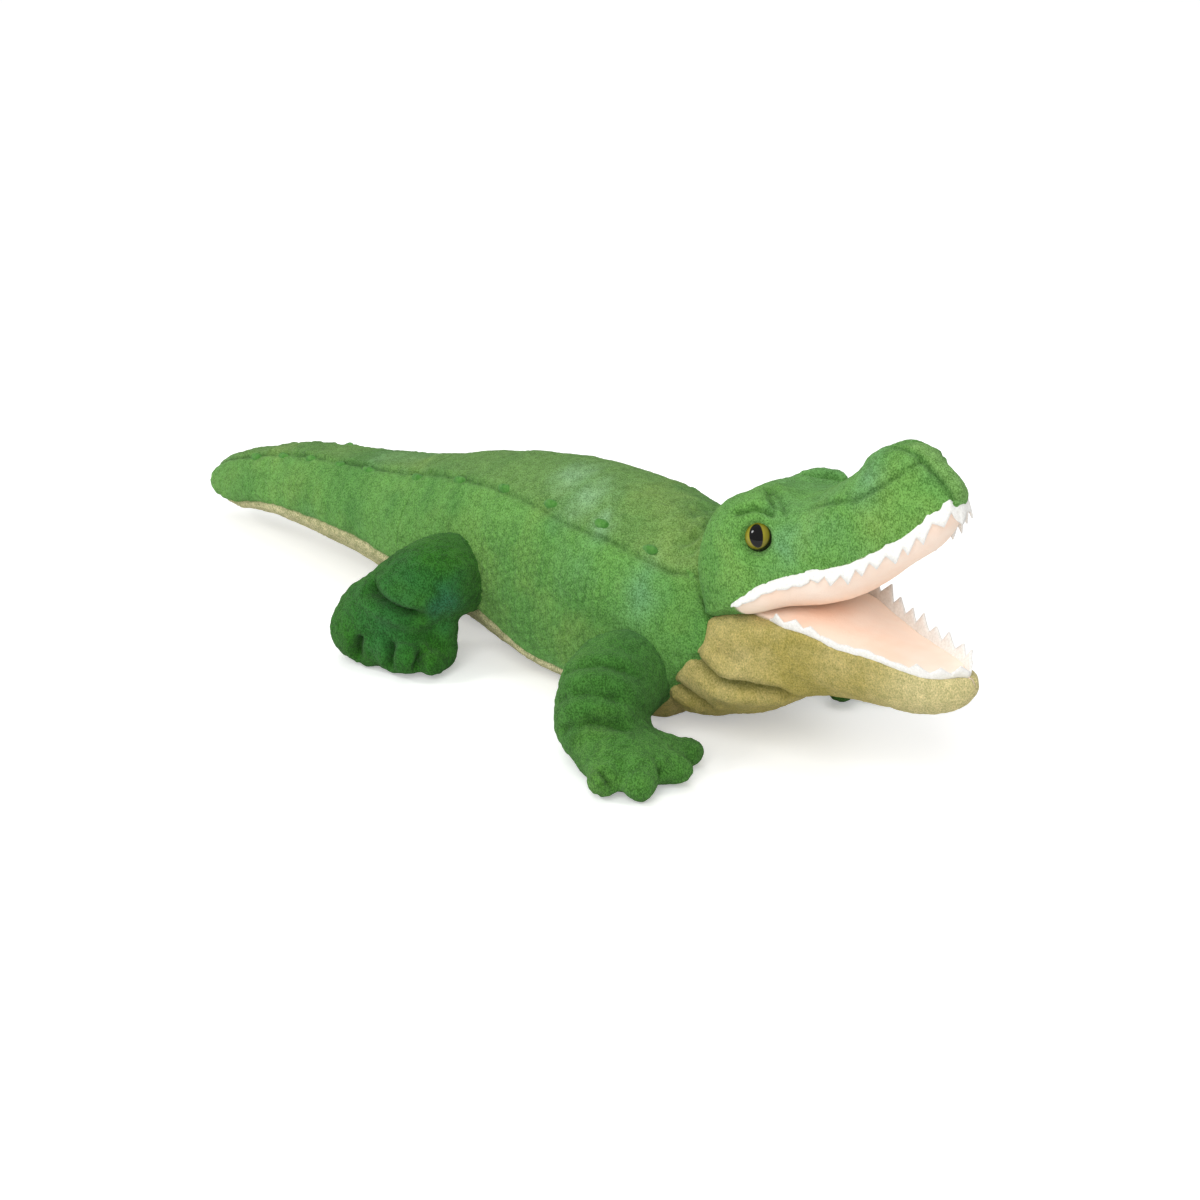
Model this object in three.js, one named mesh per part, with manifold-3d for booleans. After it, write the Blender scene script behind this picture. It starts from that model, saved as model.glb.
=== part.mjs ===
// Plush crocodile lying on its belly with its mouth open.
// Millimetres, +X towards the snout, +Y to the toy's left, +Z up, floor at Z = 0.
// Cloth panels are thin shells sewn edge to edge round stuffed cores. The head, jaw, tail and legs
// are separate stuffed forms. Each has a rounded root that turns in a seat of the form that carries it.

import * as THREE from 'three';
import { mergeVertices } from 'three/addons/utils/BufferGeometryUtils.js';
import Module from 'manifold-3d';

const wasm = await Module();
wasm.setup();

// Driving dimensions: torso, from the tail hinge to the neck hinge
const torsoLength = 230;
const torsoWidth = 88;
const torsoHeight = 100;

// Tail, from its hinge to its tip
const tailLength = 161.5;
const tailWidth = 57;
const tailHeight = 69;

// Head, from the neck hinge to the end of the nose
const headLength = 110;
const headWidth = 75;
const headHeight = 154;
const neckBottom = 11;
const collarLength = 8;

// Lower jaw, from its hinge at the back of the mouth to its tip
const jawLength = 105.5;
const jawWidth = 67;
const jawHeight = 76;
const jawHingeAhead = 14;
const jawHingeHeight = 44;
const jawRootRadius = 29;

// Front and rear legs: where the hinge sits, and the round seat in the torso
const frontHingeShare = 0.835;
const frontHingeHeight = 30;
const frontSeatRadius = 20;
const rearHingeShare = 0.325;
const rearHingeHeight = 46;
const rearSeatRadius = 22;
const seatHalfSpan = 33;
const limbClearHalfSpan = 45;

// Front leg, measured from its hinge on the seat plane
const frontReach = 65;
const frontStride = 62;
const frontArmRadius = 22;
const frontPawWidth = 54;
const frontPawHeight = 27;
const frontToeLength = 37;

// Rear leg, measured the same way
const rearReach = 50;
const rearStride = 40;
const rearArmRadius = 24;
const rearPawWidth = 55;
const rearPawHeight = 27;
const rearToeLength = 32;

// Toes, four on each paw
const toeRadius = 7;
const toeHalfLength = 14;

// Cloth, felt and gaps
const plushThickness = 2;
const liningThickness = 1.4;
const feltThickness = 1.2;
const seamGap = 0.35;
const coreGap = 0.5;
const seatClearance = 1;
const jawSeatClearance = 0.7;
const lipSetBack = 2;
const washerSetBack = 1.3;
const lipGap = 0.6;
const limbCoreGap = 0.9;
const restFlatDepth = 0.5;
const overrun = 20;

// Teeth of the felt strips
const toothHeight = 6;
const toothPitch = 6.6;
const toothValleyHeight = 1;
const toothRootDepth = 1.6;
const toothUprightShare = 0.7;
const toothProbeShare = 0.25;
const upperTeethStart = 36;
const lowerTeethStart = 24;

// Plastic eyes with a stem and a locking washer behind the cloth
const eyeDiameter = 12;
const eyeDomeHeight = 5.5;
const eyeRimHeight = 1.2;
const eyeStemDiameter = 4;
const eyeStemLength = 13;
const eyeWasherDiameter = 11;
const eyeWasherThickness = 1.6;
const eyeBoreClearance = 0.3;

// Brow rolls over the eyes, and the nubs sewn into the two seams of the back
const browLength = 28;
const browWidth = 16;
const browHeight = 16;
const nubLength = 8;
const nubWidth = 5;
const nubHeight = 7;

// Places on the head, as shares of its length and of a half turn from the crown
const eyeAlongShare = 0.235;
const eyeTurnShare = 0.29;
const browAlongShare = 0.13;
const browTurnShare = 0.175;

// How far each joint turns, in degrees, where a seat is cut for the swing
const jawCloseAngle = -8;
const jawOpenAngle = 6;

// Roundness of the sections, as shares: an ellipse is 1, more is squarer, less is more like a ridge
const ellipseShare = 1;
const backRoundnessShare = 0.95;
const bellyRoundnessShare = 1.35;
const snoutRoundnessShare = 1.1;
const palateRoundnessShare = 1.2;

// Places along the toy, from the lengths above
const overallLength = tailLength + torsoLength + jawHingeAhead + jawLength;
const tailHingeX = tailLength - overallLength / 2;
const neckHingeX = tailHingeX + torsoLength;
const jawHingeX = neckHingeX + jawHingeAhead;

// Colours, by eye
const colours = {
  backGreen: 0x6fa544,
  sideGreen: 0x4f9440,
  legGreen: 0x3f8238,
  nubGreen: 0x39702f,
  jawTan: 0xb4ac62,
  bellyTan: 0xcbc48c,
  peach: 0xf3c3a6,
  feltWhite: 0xf2f1ec,
  stuffingWhite: 0xf4f2ee,
  eyeAmber: 0x9a8a18,
  washerWhite: 0xe8e8e4,
};

// Stations of each form, as shares. Torso: along, half width, top, bottom
const torsoShares = [
  [0.0, 0.73, 0.71, 0.075],
  [0.12, 0.815, 0.785, 0.04],
  [0.25, 0.875, 0.875, 0.01],
  [0.4, 0.915, 0.945, 0.0],
  [0.55, 0.985, 0.985, 0.0],
  [0.7, 1.0, 1.0, 0.0],
  [0.85, 0.99, 0.965, 0.0],
    [1.0, 0.93, 0.9, 0.075],
];
// Tail: along, half width, top, bottom
const tailShares = [
  [0.0, 1.0, 1.0, 0.135],
  [0.14, 0.93, 0.945, 0.165],
  [0.28, 0.845, 0.88, 0.185],
  [0.42, 0.76, 0.81, 0.18],
  [0.57, 0.67, 0.735, 0.175],
  [0.72, 0.58, 0.66, 0.17],
  [0.85, 0.47, 0.56, 0.165],
  [0.93, 0.36, 0.47, 0.17],
  [0.975, 0.23, 0.39, 0.195],
  [1.0, 0.07, 0.33, 0.245],
];
// Upper head: along, half width, top, height of the widest part, palate
const headShares = [
  [0.0, 1.0, 0.727, 0.402, 0.368],
  [0.09, 1.0, 0.765, 0.462, 0.415],
  [0.19, 0.97, 0.782, 0.524, 0.466],
  [0.29, 0.88, 0.792, 0.582, 0.492],
  [0.4, 0.785, 0.835, 0.628, 0.513],
  [0.51, 0.69, 0.893, 0.666, 0.546],
  [0.61, 0.615, 0.953, 0.697, 0.59],
  [0.7, 0.56, 0.99, 0.738, 0.634],
  [0.785, 0.52, 1.0, 0.777, 0.68],
  [0.865, 0.445, 0.976, 0.82, 0.725],
  [0.935, 0.34, 0.946, 0.876, 0.79],
  [0.98, 0.22, 0.93, 0.903, 0.865],
  [1.0, 0.13, 0.923, 0.902, 0.876],
];
// Lower jaw ahead of its hinge: along, half width, floor of the mouth, lip line, underside
const jawShares = [
  [0.095, 1.0, 1.0, 0.77, 0.255],
  [0.19, 0.97, 0.985, 0.88, 0.36],
  [0.305, 0.895, 0.96, 0.91, 0.43],
  [0.435, 0.79, 0.93, 0.892, 0.475],
  [0.585, 0.685, 0.905, 0.872, 0.49],
  [0.72, 0.58, 0.885, 0.85, 0.5],
  [0.835, 0.46, 0.87, 0.832, 0.54],
  [0.925, 0.3, 0.87, 0.838, 0.625],
  [0.98, 0.19, 0.868, 0.84, 0.705],
  [1.0, 0.11, 0.85, 0.825, 0.755],
];
// Seam angles from the crown, as shares of a half turn: along the torso, back seam, belly seam
const torsoSeamShares = [
  [0.0, 0.19, 0.6],
  [0.35, 0.2, 0.68],
  [0.55, 0.2, 0.77],
  [0.8, 0.2, 0.77],
  [1.0, 0.2, 0.62],
];
// The same along the tail
const tailSeamShares = [
  [0.0, 0.19, 0.6],
  [1.0, 0.17, 0.6],
];
// Lip seam of the jaw: along, angle share. It closes round the tip
const jawSeamShares = [
  [0.0, 0.28],
  [0.095, 0.31],
  [0.19, 0.37],
  [0.305, 0.39],
  [0.925, 0.39],
  [0.98, 0.27],
  [1.0, 0.0],
];
// Seams of the head: along, top seam, upper lip. The lip closes under the tip
const headSeamShares = [
  [0.0, 0.18, 0.62],
  [0.3, 0.19, 0.58],
  [0.55, 0.24, 0.58],
  [0.865, 0.24, 0.58],
  [0.935, 0.22, 0.6],
  [0.98, 0.2, 0.72],
  [1.0, 0.2, 1.0],
];

// Arm of a leg: reach, stride, height over the floor, radius across, radius through
const frontArmShares = [
  [0.3, 0.04, 1.0, 0.95, 0.96],
  [0.48, 0.07, 0.92, 0.94, 0.94],
  [0.6, 0.11, 0.72, 0.9, 0.87],
  [0.66, 0.16, 0.5, 0.68, 0.64],
  [0.69, 0.2, 0.4, 0.28, 0.26],
];
// Paw: reach, stride, width, height
const frontPawShares = [
  [0.57, 0.0, 0.38, 0.3],
  [0.58, 0.09, 0.6, 0.75],
  [0.605, 0.22, 0.76, 0.98],
  [0.65, 0.45, 1.0, 0.9],
  [0.66, 0.68, 0.95, 0.72],
  [0.66, 0.84, 0.72, 0.58],
  [0.66, 0.93, 0.3, 0.4],
];
const rearArmShares = [
  [0.3, -0.06, 0.96, 0.96, 0.96],
  [0.5, -0.3, 0.78, 0.93, 0.94],
  [0.64, -0.64, 0.56, 0.9, 0.87],
  [0.7, -0.87, 0.42, 0.72, 0.68],
  [0.72, -0.92, 0.36, 0.26, 0.26],
];
const rearPawShares = [
  [0.4, -0.86, 0.35, 0.42],
  [0.44, -0.76, 0.72, 0.85],
  [0.55, -0.58, 0.98, 1.0],
  [0.74, -0.37, 1.0, 0.88],
  [0.88, -0.22, 0.8, 0.65],
  [0.96, -0.18, 0.3, 0.4],
];
// Toes: heading from the paw in degrees, and reach as a share of the toe length
const frontToeFan = [[-60, 0.88], [-27, 1.0], [15, 0.95], [57, 1.03]];
const rearToeFan = [[-122, 0.84], [-87, 0.72], [-46, 0.82], [-14, 1.1]];
// Where the toes meet: reach, stride
const frontPawCentreShare = [0.65, 0.42];
const rearPawCentreShare = [0.55, -0.3];
// The arm's radius inside the body, of the seat's
const armRootShare = 0.8;

// Nubs along each back seam, as shares of the form
const torsoNubShares = [0.1, 0.25, 0.4, 0.55, 0.7, 0.83];
const tailNubShares = [0.1, 0.25, 0.4, 0.55, 0.7];

// Steps of each panel round its form. Panels across the middle have even counts, so that no
// quad's two diagonals are alike
const backSteps = 6;
const sideSteps = 5;
const bellySteps = 6;
const snoutTopSteps = 4;
const snoutSideSteps = 4;
const liningSteps = 4;
const jawSideSteps = 4;
const limbSteps = 8;
const boreSteps = 16;
const domeSteps = 4;
const rollSteps = 6;
const rollRings = 5;
const toeSteps = 6;
const toeRings = 4;
const rootSteps = 5;
const rootTurns = 16;
const collarSteps = 2;

// Rows of the jaw that its room in the head is cut from, and the row where the palate starts
const jawToolRows = 5;
const palateFirstRow = 1;

// How far a panel's two edges stand off its seams. The felt strip of the teeth lies in a lip seam
const lipEdge = feltThickness / 2 + lipGap;
const evenGaps = { fromGap: seamGap / 2, toGap: seamGap / 2 };
const lipGaps = { fromGap: seamGap / 2, toGap: lipEdge };
const halfTurn = Math.PI;
const side = { right: -1, left: 1 };

// Smooth value of one column of a station table, without overshoot between rows
function smooth(table, column, along) {
  const last = table.length - 1;
  let row = 0;
  while (row < last - 1 && along > table[row + 1][0]) row += 1;
  const slopeBetween = (index) => {
    const run = table[index + 1][0] - table[index][0];
    return (table[index + 1][column] - table[index][column]) / run;
  };
  const slopeAt = (index) => {
    if (index === 0) return slopeBetween(0);
    if (index === last) return slopeBetween(last - 1);
    const before = slopeBetween(index - 1);
    const after = slopeBetween(index);
    return before * after <= 0 ? 0 : (2 * before * after) / (before + after);
  };
  const start = table[row];
  const end = table[row + 1];
  const run = end[0] - start[0];
  const t = (along - start[0]) / run;
  const a = 2 * t ** 3 - 3 * t ** 2 + 1;
  const b = t ** 3 - 2 * t ** 2 + t;
  const c = 3 * t ** 2 - 2 * t ** 3;
  const d = t ** 3 - t ** 2;
  return a * start[column] + b * run * slopeAt(row) + c * end[column] + d * run * slopeAt(row + 1);
}

// Signed power, the building block of a rounded-square section
function roundedPower(value, roundnessShare) {
  return Math.sign(value) * Math.abs(value) ** (1 / roundnessShare);
}

// Point of an upright section at a turn from the crown, positive to the left
function sectionPoint(section, turn) {
  const up = Math.cos(turn) >= 0;
  const roundnessShare = up ? section.upperShare : section.lowerShare;
  const height = up ? section.top - section.middle : section.middle - section.bottom;
  return new THREE.Vector3(
    section.x,
    section.halfWidth * roundedPower(Math.sin(turn), roundnessShare),
    section.middle + height * roundedPower(Math.cos(turn), roundnessShare),
  );
}

// Point moved inwards along the form's own normal, found from its neighbours
const probeStep = 0.004;
function insetPoint(form, along, turn, inset) {
  const point = form.at(along, turn);
  if (inset === 0) return point;
  const low = Math.max(form.start, along - probeStep);
  const high = Math.min(1, along + probeStep);
  const lengthwise = form.at(high, turn).sub(form.at(low, turn));
  const around = form.at(along, turn + probeStep).sub(form.at(along, turn - probeStep));
  const normal = around.cross(lengthwise).normalize();
  const centre = form.centre(along);
  const outward = point.clone().sub(centre);
  if (normal.dot(outward) < 0) normal.negate();
  return point.addScaledVector(normal, -inset);
}

// Solid from points and triangles, turned the right way out
function solidFrom(points, triangles) {
  const geometry = new THREE.BufferGeometry();
  const positions = new Float32Array(points.flatMap((point) => [point.x, point.y, point.z]));
  geometry.setAttribute('position', new THREE.BufferAttribute(positions, 3));
  geometry.setIndex(triangles.flat());
  return solidOf(geometry);
}

// Signed volume of an indexed geometry, positive where its faces point out
function signedVolume(geometry) {
  const place = geometry.attributes.position;
  const index = geometry.index.array;
  const corners = [new THREE.Vector3(), new THREE.Vector3(), new THREE.Vector3()];
  let sum = 0;
  for (let i = 0; i < index.length; i += 3) {
    corners.forEach((corner, k) => corner.fromBufferAttribute(place, index[i + k]));
    sum += corners[0].dot(corners[1].clone().cross(corners[2])) / 6;
  }
  return sum;
}

function solidOf(geometry) {
  const bare = geometry.clone();
  bare.deleteAttribute('normal');
  bare.deleteAttribute('uv');
  const merged = mergeVertices(bare);
  const turnedIn = signedVolume(merged) < 0;
  const source = merged.index.array;
  const corners = [];
  for (let i = 0; i < source.length; i += 3) {
    const [a, b, c] = [source[i], source[i + 1], source[i + 2]];
    if (a === b || b === c || c === a) continue;
    corners.push(...(turnedIn ? [a, c, b] : [a, b, c]));
  }
  return new wasm.Manifold(new wasm.Mesh({
    numProp: 3,
    vertProperties: new Float32Array(merged.attributes.position.array),
    triVerts: new Uint32Array(corners),
  }));
}

function geometryOf(solid) {
  const mesh = solid.getMesh();
  const geometry = new THREE.BufferGeometry();
  geometry.setAttribute('position', new THREE.BufferAttribute(mesh.vertProperties, 3));
  geometry.setIndex(new THREE.BufferAttribute(mesh.triVerts, 1));
  geometry.computeVertexNormals();
  return geometry;
}

// Two triangles of a quad, split along its shorter diagonal so that mirrored sides match
function splitQuad(points, a, b, c, d) {
  const alongFirst = points[a].distanceTo(points[c]);
  const alongSecond = points[b].distanceTo(points[d]);
  return alongFirst <= alongSecond ? [[a, b, c], [a, c, d]] : [[a, b, d], [b, c, d]];
}

// Closed tube through rings of equal count. An end ring that isn't folded flat is filled from its middle
function tubeSolid(rings, startFolded = false, endFolded = false) {
  const count = rings[0].length;
  const points = rings.flat();
  const triangles = [];
  for (let i = 0; i < rings.length - 1; i += 1) {
    for (let j = 0; j < count; j += 1) {
      const a = i * count + j;
      const b = i * count + ((j + 1) % count);
      triangles.push(...splitQuad(points, a, b, b + count, a + count));
    }
  }
  const closeEnd = (ring, first, flip) => {
    const middle = ring.reduce((sum, point) => sum.add(point), new THREE.Vector3());
    points.push(middle.divideScalar(count));
    for (let j = 0; j < count; j += 1) {
      const a = first + j;
      const b = first + ((j + 1) % count);
      triangles.push(flip ? [points.length - 1, b, a] : [points.length - 1, a, b]);
    }
  };
  if (!startFolded) closeEnd(rings[0], 0, true);
  if (!endFolded) closeEnd(rings[rings.length - 1], (rings.length - 1) * count, false);
  return solidFrom(points, triangles);
}

// Slab between an outer and an inner grid of points of the same size
function slabSolid(outer, inner) {
  const rows = outer.length;
  const columns = outer[0].length;
  const points = [...outer.flat(), ...inner.flat()];
  const under = rows * columns;
  const triangles = [];
  const quad = (...corners) => triangles.push(...splitQuad(points, ...corners));
  for (let i = 0; i < rows - 1; i += 1) {
    for (let j = 0; j < columns - 1; j += 1) {
      const a = i * columns + j;
      quad(a, a + 1, a + 1 + columns, a + columns);
      quad(under + a, under + a + columns, under + a + 1 + columns, under + a + 1);
    }
  }
  for (let j = 0; j < columns - 1; j += 1) {
    const last = (rows - 1) * columns;
    quad(j + 1, j, under + j, under + j + 1);
    quad(last + j, last + j + 1, under + last + j + 1, under + last + j);
  }
  for (let i = 0; i < rows - 1; i += 1) {
    const near = i * columns;
    const far = near + columns - 1;
    quad(near, near + columns, under + near + columns, under + near);
    quad(far + columns, far, under + far, under + far + columns);
  }
  return solidFrom(points, triangles);
}

// Cloth panel of a form between two seam angles, which may change along it. Its two edges stand
// off the seams by gaps, and face them squarely
function panelSolid(form, { rows, from, to, steps, thickness, fromGap, toGap }) {
  const grid = (inset) => rows.map((along) => {
    const turns = [...spread(from(along), to(along), steps), to(along)];
    const row = turns.map((turn) => insetPoint(form, along, turn, inset));
    const standOff = (index, step, gap) => {
      const inwards = form.at(along, turns[index] + step).sub(form.at(along, turns[index]));
      row[index].add(inwards.setLength(gap));
    };
    standOff(0, probeStep, fromGap);
    standOff(steps, -probeStep, toGap);
    return row;
  });
  return slabSolid(grid(0), grid(thickness));
}

// Rings of a rounded root, swung from folded flat behind the hinge to an end swing ahead of it
function rootRings(form, clearance, endSwing) {
  const middle = form.centre(form.start);
  const outline = spread(0, 2 * halfTurn, rootTurns).map((turn) => {
    const arm = form.at(form.start, turn).sub(middle);
    return middle.clone().add(arm.setLength(arm.length() + clearance));
  });
  const foldedBack = halfTurn / 2;
  const count = Math.round((rootSteps * (foldedBack - endSwing)) / foldedBack);
  return Array.from({ length: count + 1 }, (_, i) => {
    const swing = foldedBack + ((endSwing - foldedBack) * i) / count;
    return outline.map((point) => form.root(point, swing));
  });
}

// Whole rounded root, grown by a clearance, as the tool that cuts its seat
function rootTool(form, clearance) {
  return closedLoft(rootRings(form, clearance, -halfTurn / 2));
}

const cutAll = (solid, tools) => tools.reduce((rest, tool) => rest.subtract(tool), solid);

// Stuffed core of a form, joined to its rounded root, which starts a little inside it
function coreSolid(form, { rows, turns, inset, rootInset = 0, behindRoot = [] }) {
  const rings = rows.map((along) => turns(along).map(
    (turn) => insetPoint(form, along, turn, inset),
  ));
  if (!form.root) return tubeSolid(rings);
  const back = form.centre(form.start).sub(form.centre(1)).setLength(seamGap);
  const start = rings[0].map((point) => point.clone().add(back));
  const root = tubeSolid(rootRings(form, -rootInset, 0), true);
  return cutAll(tubeSolid([start, ...rings]), behindRoot).add(root);
}

// Cloth over a rounded root, open towards the form that it belongs to
function rootCover(form) {
  const outer = tubeSolid(rootRings(form, 0, 0), true);
  return outer.subtract(closedLoft(rootRings(form, -plushThickness, -halfTurn / 2)));
}

// Loft whose first and last rings are folded flat, so it needs no ends
function closedLoft(rings) {
  return tubeSolid(rings, true, true);
}

// Forms along X, from a table of stations
function uprightForm({ start, sectionAt, root }) {
  const at = (along, turn) => sectionPoint(sectionAt(along), turn);
  const centre = (along) => {
    const section = sectionAt(along);
    return new THREE.Vector3(section.x, 0, section.middle);
  };
  return { start, at, centre, root };
}

// Root that turns about an upright axis: the half outline swung round it
const uprightRoot = (hingeX, heading) => (point, swing) => new THREE.Vector3(
  hingeX + heading * Math.abs(point.y) * Math.sin(swing),
  point.y * Math.cos(swing),
  point.z,
);

const torso = uprightForm({
  start: 0,
  sectionAt: (along) => {
    const top = torsoHeight * smooth(torsoShares, 2, along);
    const bottom = torsoHeight * smooth(torsoShares, 3, along) - restFlatDepth;
    return {
      x: tailHingeX + lipSetBack + along * (torsoLength - 2 * lipSetBack),
      halfWidth: (torsoWidth / 2) * smooth(torsoShares, 1, along),
      top,
      middle: (top + bottom) / 2,
      bottom,
      upperShare: backRoundnessShare,
      lowerShare: ellipseShare + (bellyRoundnessShare - ellipseShare) * along,
    };
  },
});

const tail = uprightForm({
  start: 0,
  sectionAt: (along) => {
    const top = tailHeight * smooth(tailShares, 2, along);
    const bottom = tailHeight * smooth(tailShares, 3, along);
    return {
      x: tailHingeX - along * tailLength,
      halfWidth: (tailWidth / 2) * smooth(tailShares, 1, along),
      top,
      middle: (top + bottom) / 2,
      bottom,
      upperShare: ellipseShare,
      lowerShare: ellipseShare,
    };
  },
  root: uprightRoot(tailHingeX, 1),
});

// The collar behind the head is as high as the head's first section
const neckTop = headHeight * smooth(headShares, 2, 0);
const neckMiddle = (neckTop + neckBottom) / 2;
const collar = uprightForm({
  start: 0,
  sectionAt: (along) => ({
    x: neckHingeX + along * collarLength,
    halfWidth: headWidth / 2,
    top: neckTop,
    middle: neckMiddle,
    bottom: neckBottom + along * lipSetBack,
    upperShare: ellipseShare,
    lowerShare: ellipseShare,
  }),
  root: uprightRoot(neckHingeX, -1),
});

const head = uprightForm({
  start: 0,
  sectionAt: (along) => ({
    x: neckHingeX + along * headLength,
    halfWidth: (headWidth / 2) * smooth(headShares, 1, along),
    top: headHeight * smooth(headShares, 2, along),
    middle: headHeight * smooth(headShares, 3, along),
    bottom: headHeight * smooth(headShares, 4, along),
    upperShare: ellipseShare + (snoutRoundnessShare - ellipseShare) * along,
    lowerShare: palateRoundnessShare,
  }),
});

// The jaw's first station is the round section about its hinge
const jawStations = [
  [
    0,
    1,
    (jawHingeHeight + jawRootRadius) / jawHeight,
    jawHingeHeight / jawHeight,
    (jawHingeHeight - jawRootRadius) / jawHeight,
  ],
  ...jawShares,
];
const jaw = uprightForm({
  start: 0,
  sectionAt: (along) => ({
    x: jawHingeX + along * jawLength,
    halfWidth: (jawWidth / 2) * smooth(jawStations, 1, along),
    top: jawHeight * smooth(jawStations, 2, along),
    middle: jawHeight * smooth(jawStations, 3, along),
    bottom: jawHeight * smooth(jawStations, 4, along),
    upperShare: ellipseShare,
    lowerShare: ellipseShare,
  }),
  root: (point, swing) => new THREE.Vector3(
    jawHingeX - Math.abs(point.z - jawHingeHeight) * Math.sin(swing),
    point.y,
    jawHingeHeight + (point.z - jawHingeHeight) * Math.cos(swing),
  ),
});

// Evenly spaced turns between seams, the same for the cloth and for the core under it
function spread(from, to, steps) {
  return Array.from({ length: steps }, (_, j) => from + ((to - from) * j) / steps);
}

function bodyTurns(seams) {
  return (along) => {
    const back = halfTurn * smooth(seams, 1, along);
    const belly = halfTurn * smooth(seams, 2, along);
    return [
      ...spread(-back, back, backSteps),
      ...spread(back, belly, sideSteps),
      ...spread(belly, 2 * halfTurn - belly, bellySteps),
      ...spread(2 * halfTurn - belly, 2 * halfTurn - back, sideSteps),
    ];
  };
}

const tableRows = (table) => table.map((row) => row[0]);

// Rows of a cloth panel that starts a seam's gap ahead of the form's root
function clothRows(rows, form) {
  const reach = form.centre(1).distanceTo(form.centre(0));
  return [seamGap / reach, ...rows.slice(1)];
}

const headTop = (along) => halfTurn * smooth(headSeamShares, 1, along);
const headLip = (along) => halfTurn * smooth(headSeamShares, 2, along);
const headTurns = (along) => {
  const top = headTop(along);
  const lip = headLip(along);
  return [
    ...spread(-top, top, snoutTopSteps),
    ...spread(top, lip, snoutSideSteps),
    ...spread(lip, 2 * halfTurn - lip, liningSteps),
    ...spread(2 * halfTurn - lip, 2 * halfTurn - top, snoutSideSteps),
  ];
};

const jawTurns = (along) => {
  const lip = halfTurn * smooth(jawSeamShares, 1, Math.max(along, 0));
  return [
    ...spread(-lip, lip, liningSteps),
    ...spread(lip, 2 * halfTurn - lip, 2 * jawSideSteps),
  ];
};

// Box below the floor, which cuts the flats that the toy rests on
function belowFloor() {
  const box = new THREE.BoxGeometry(2 * overallLength, 2 * overallLength, overallLength);
  box.translate(0, 0, -overallLength / 2);
  return solidOf(box);
}
const floorCut = belowFloor();

// Everything behind an upright plane across the toy
function behindPlane(x) {
  const box = new THREE.BoxGeometry(overallLength, 2 * overallLength, 2 * overallLength);
  box.translate(x - overallLength / 2, 0, 0);
  return solidOf(box);
}

// Round rod across the toy, from a half span outwards on one hand
function crossRod(x, z, radius, startHalfSpan, length, hand) {
  const rod = new THREE.CylinderGeometry(radius, radius, length, boreSteps);
  rod.translate(x, (startHalfSpan + length / 2) * hand, z);
  return solidOf(rod);
}

const legs = {
  front: {
    hingeX: tailHingeX + torsoLength * frontHingeShare,
    hingeZ: frontHingeHeight,
    seatRadius: frontSeatRadius,
    reach: frontReach,
    stride: frontStride,
    armRadius: frontArmRadius,
    armShares: frontArmShares,
    pawShares: frontPawShares,
    pawWidth: frontPawWidth,
    pawHeight: frontPawHeight,
    pawCentre: frontPawCentreShare,
    toeFan: frontToeFan,
    toeLength: frontToeLength,
  },
  rear: {
    hingeX: tailHingeX + torsoLength * rearHingeShare,
    hingeZ: rearHingeHeight,
    seatRadius: rearSeatRadius,
    reach: rearReach,
    stride: rearStride,
    armRadius: rearArmRadius,
    armShares: rearArmShares,
    pawShares: rearPawShares,
    pawWidth: rearPawWidth,
    pawHeight: rearPawHeight,
    pawCentre: rearPawCentreShare,
    toeFan: rearToeFan,
    toeLength: rearToeLength,
  },
};

// Form round a curved centre line with an elliptical section at each station
function curvedForm(stations) {
  const curve = new THREE.CatmullRomCurve3(stations.map((station) => station.place), false, 'centripetal');
  const last = stations.length - 1;
  const across = stations.map((station, i) => [i / last, station.across]);
  const through = stations.map((station, i) => [i / last, station.through]);
  const frame = (along) => {
    const middle = curve.getPoint(along);
    const tangent = curve.getTangent(along);
    const sideways = tangent.clone().cross(new THREE.Vector3(0, 0, 1)).normalize();
    const upwards = sideways.clone().cross(tangent).normalize();
    return { middle, sideways, upwards };
  };
  const at = (along, turn) => {
    const { middle, sideways, upwards } = frame(along);
    return middle
      .addScaledVector(sideways, smooth(across, 1, along) * Math.sin(turn))
      .addScaledVector(upwards, smooth(through, 1, along) * Math.cos(turn));
  };
  return { start: 0, at };
}

// Stations with their radii less an inset, and both ends drawn in by as much
function shrunk(stations, inset) {
  const last = stations.length - 1;
  return stations.map(({ place, across, through }, i) => {
    const inner = place.clone();
    if (i === 0 || i === last) {
      const next = stations[Math.abs(i - 1)];
      inner.add(next.place.clone().sub(place).setLength(inset));
    }
    return { place: inner, across: across - inset, through: through - inset };
  });
}

// Upper limb, from inside the plug that fits the seat out to the elbow or knee
function armStations(leg) {
  const root = {
    place: new THREE.Vector3(leg.hingeX, -seatHalfSpan - plushThickness, leg.hingeZ),
    across: leg.seatRadius * armRootShare,
    through: leg.seatRadius * armRootShare,
  };
  const arm = leg.armShares.map(([reach, stride, height, across, through]) => ({
    place: new THREE.Vector3(
      leg.hingeX + stride * leg.stride,
      -(seatHalfSpan + reach * leg.reach),
      height * leg.hingeZ,
    ),
    across: across * leg.armRadius,
    through: through * leg.armRadius,
  }));
  return [root, ...arm];
}

// Paw: a flattened loft whose underside is level with the floor
function pawStations(leg) {
  return leg.pawShares.map(([reach, stride, across, through]) => ({
    place: new THREE.Vector3(
      leg.hingeX + stride * leg.stride,
      -(seatHalfSpan + reach * leg.reach),
      (through * leg.pawHeight) / 2 - restFlatDepth,
    ),
    across: (across * leg.pawWidth) / 2,
    through: (through * leg.pawHeight) / 2,
  }));
}

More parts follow.
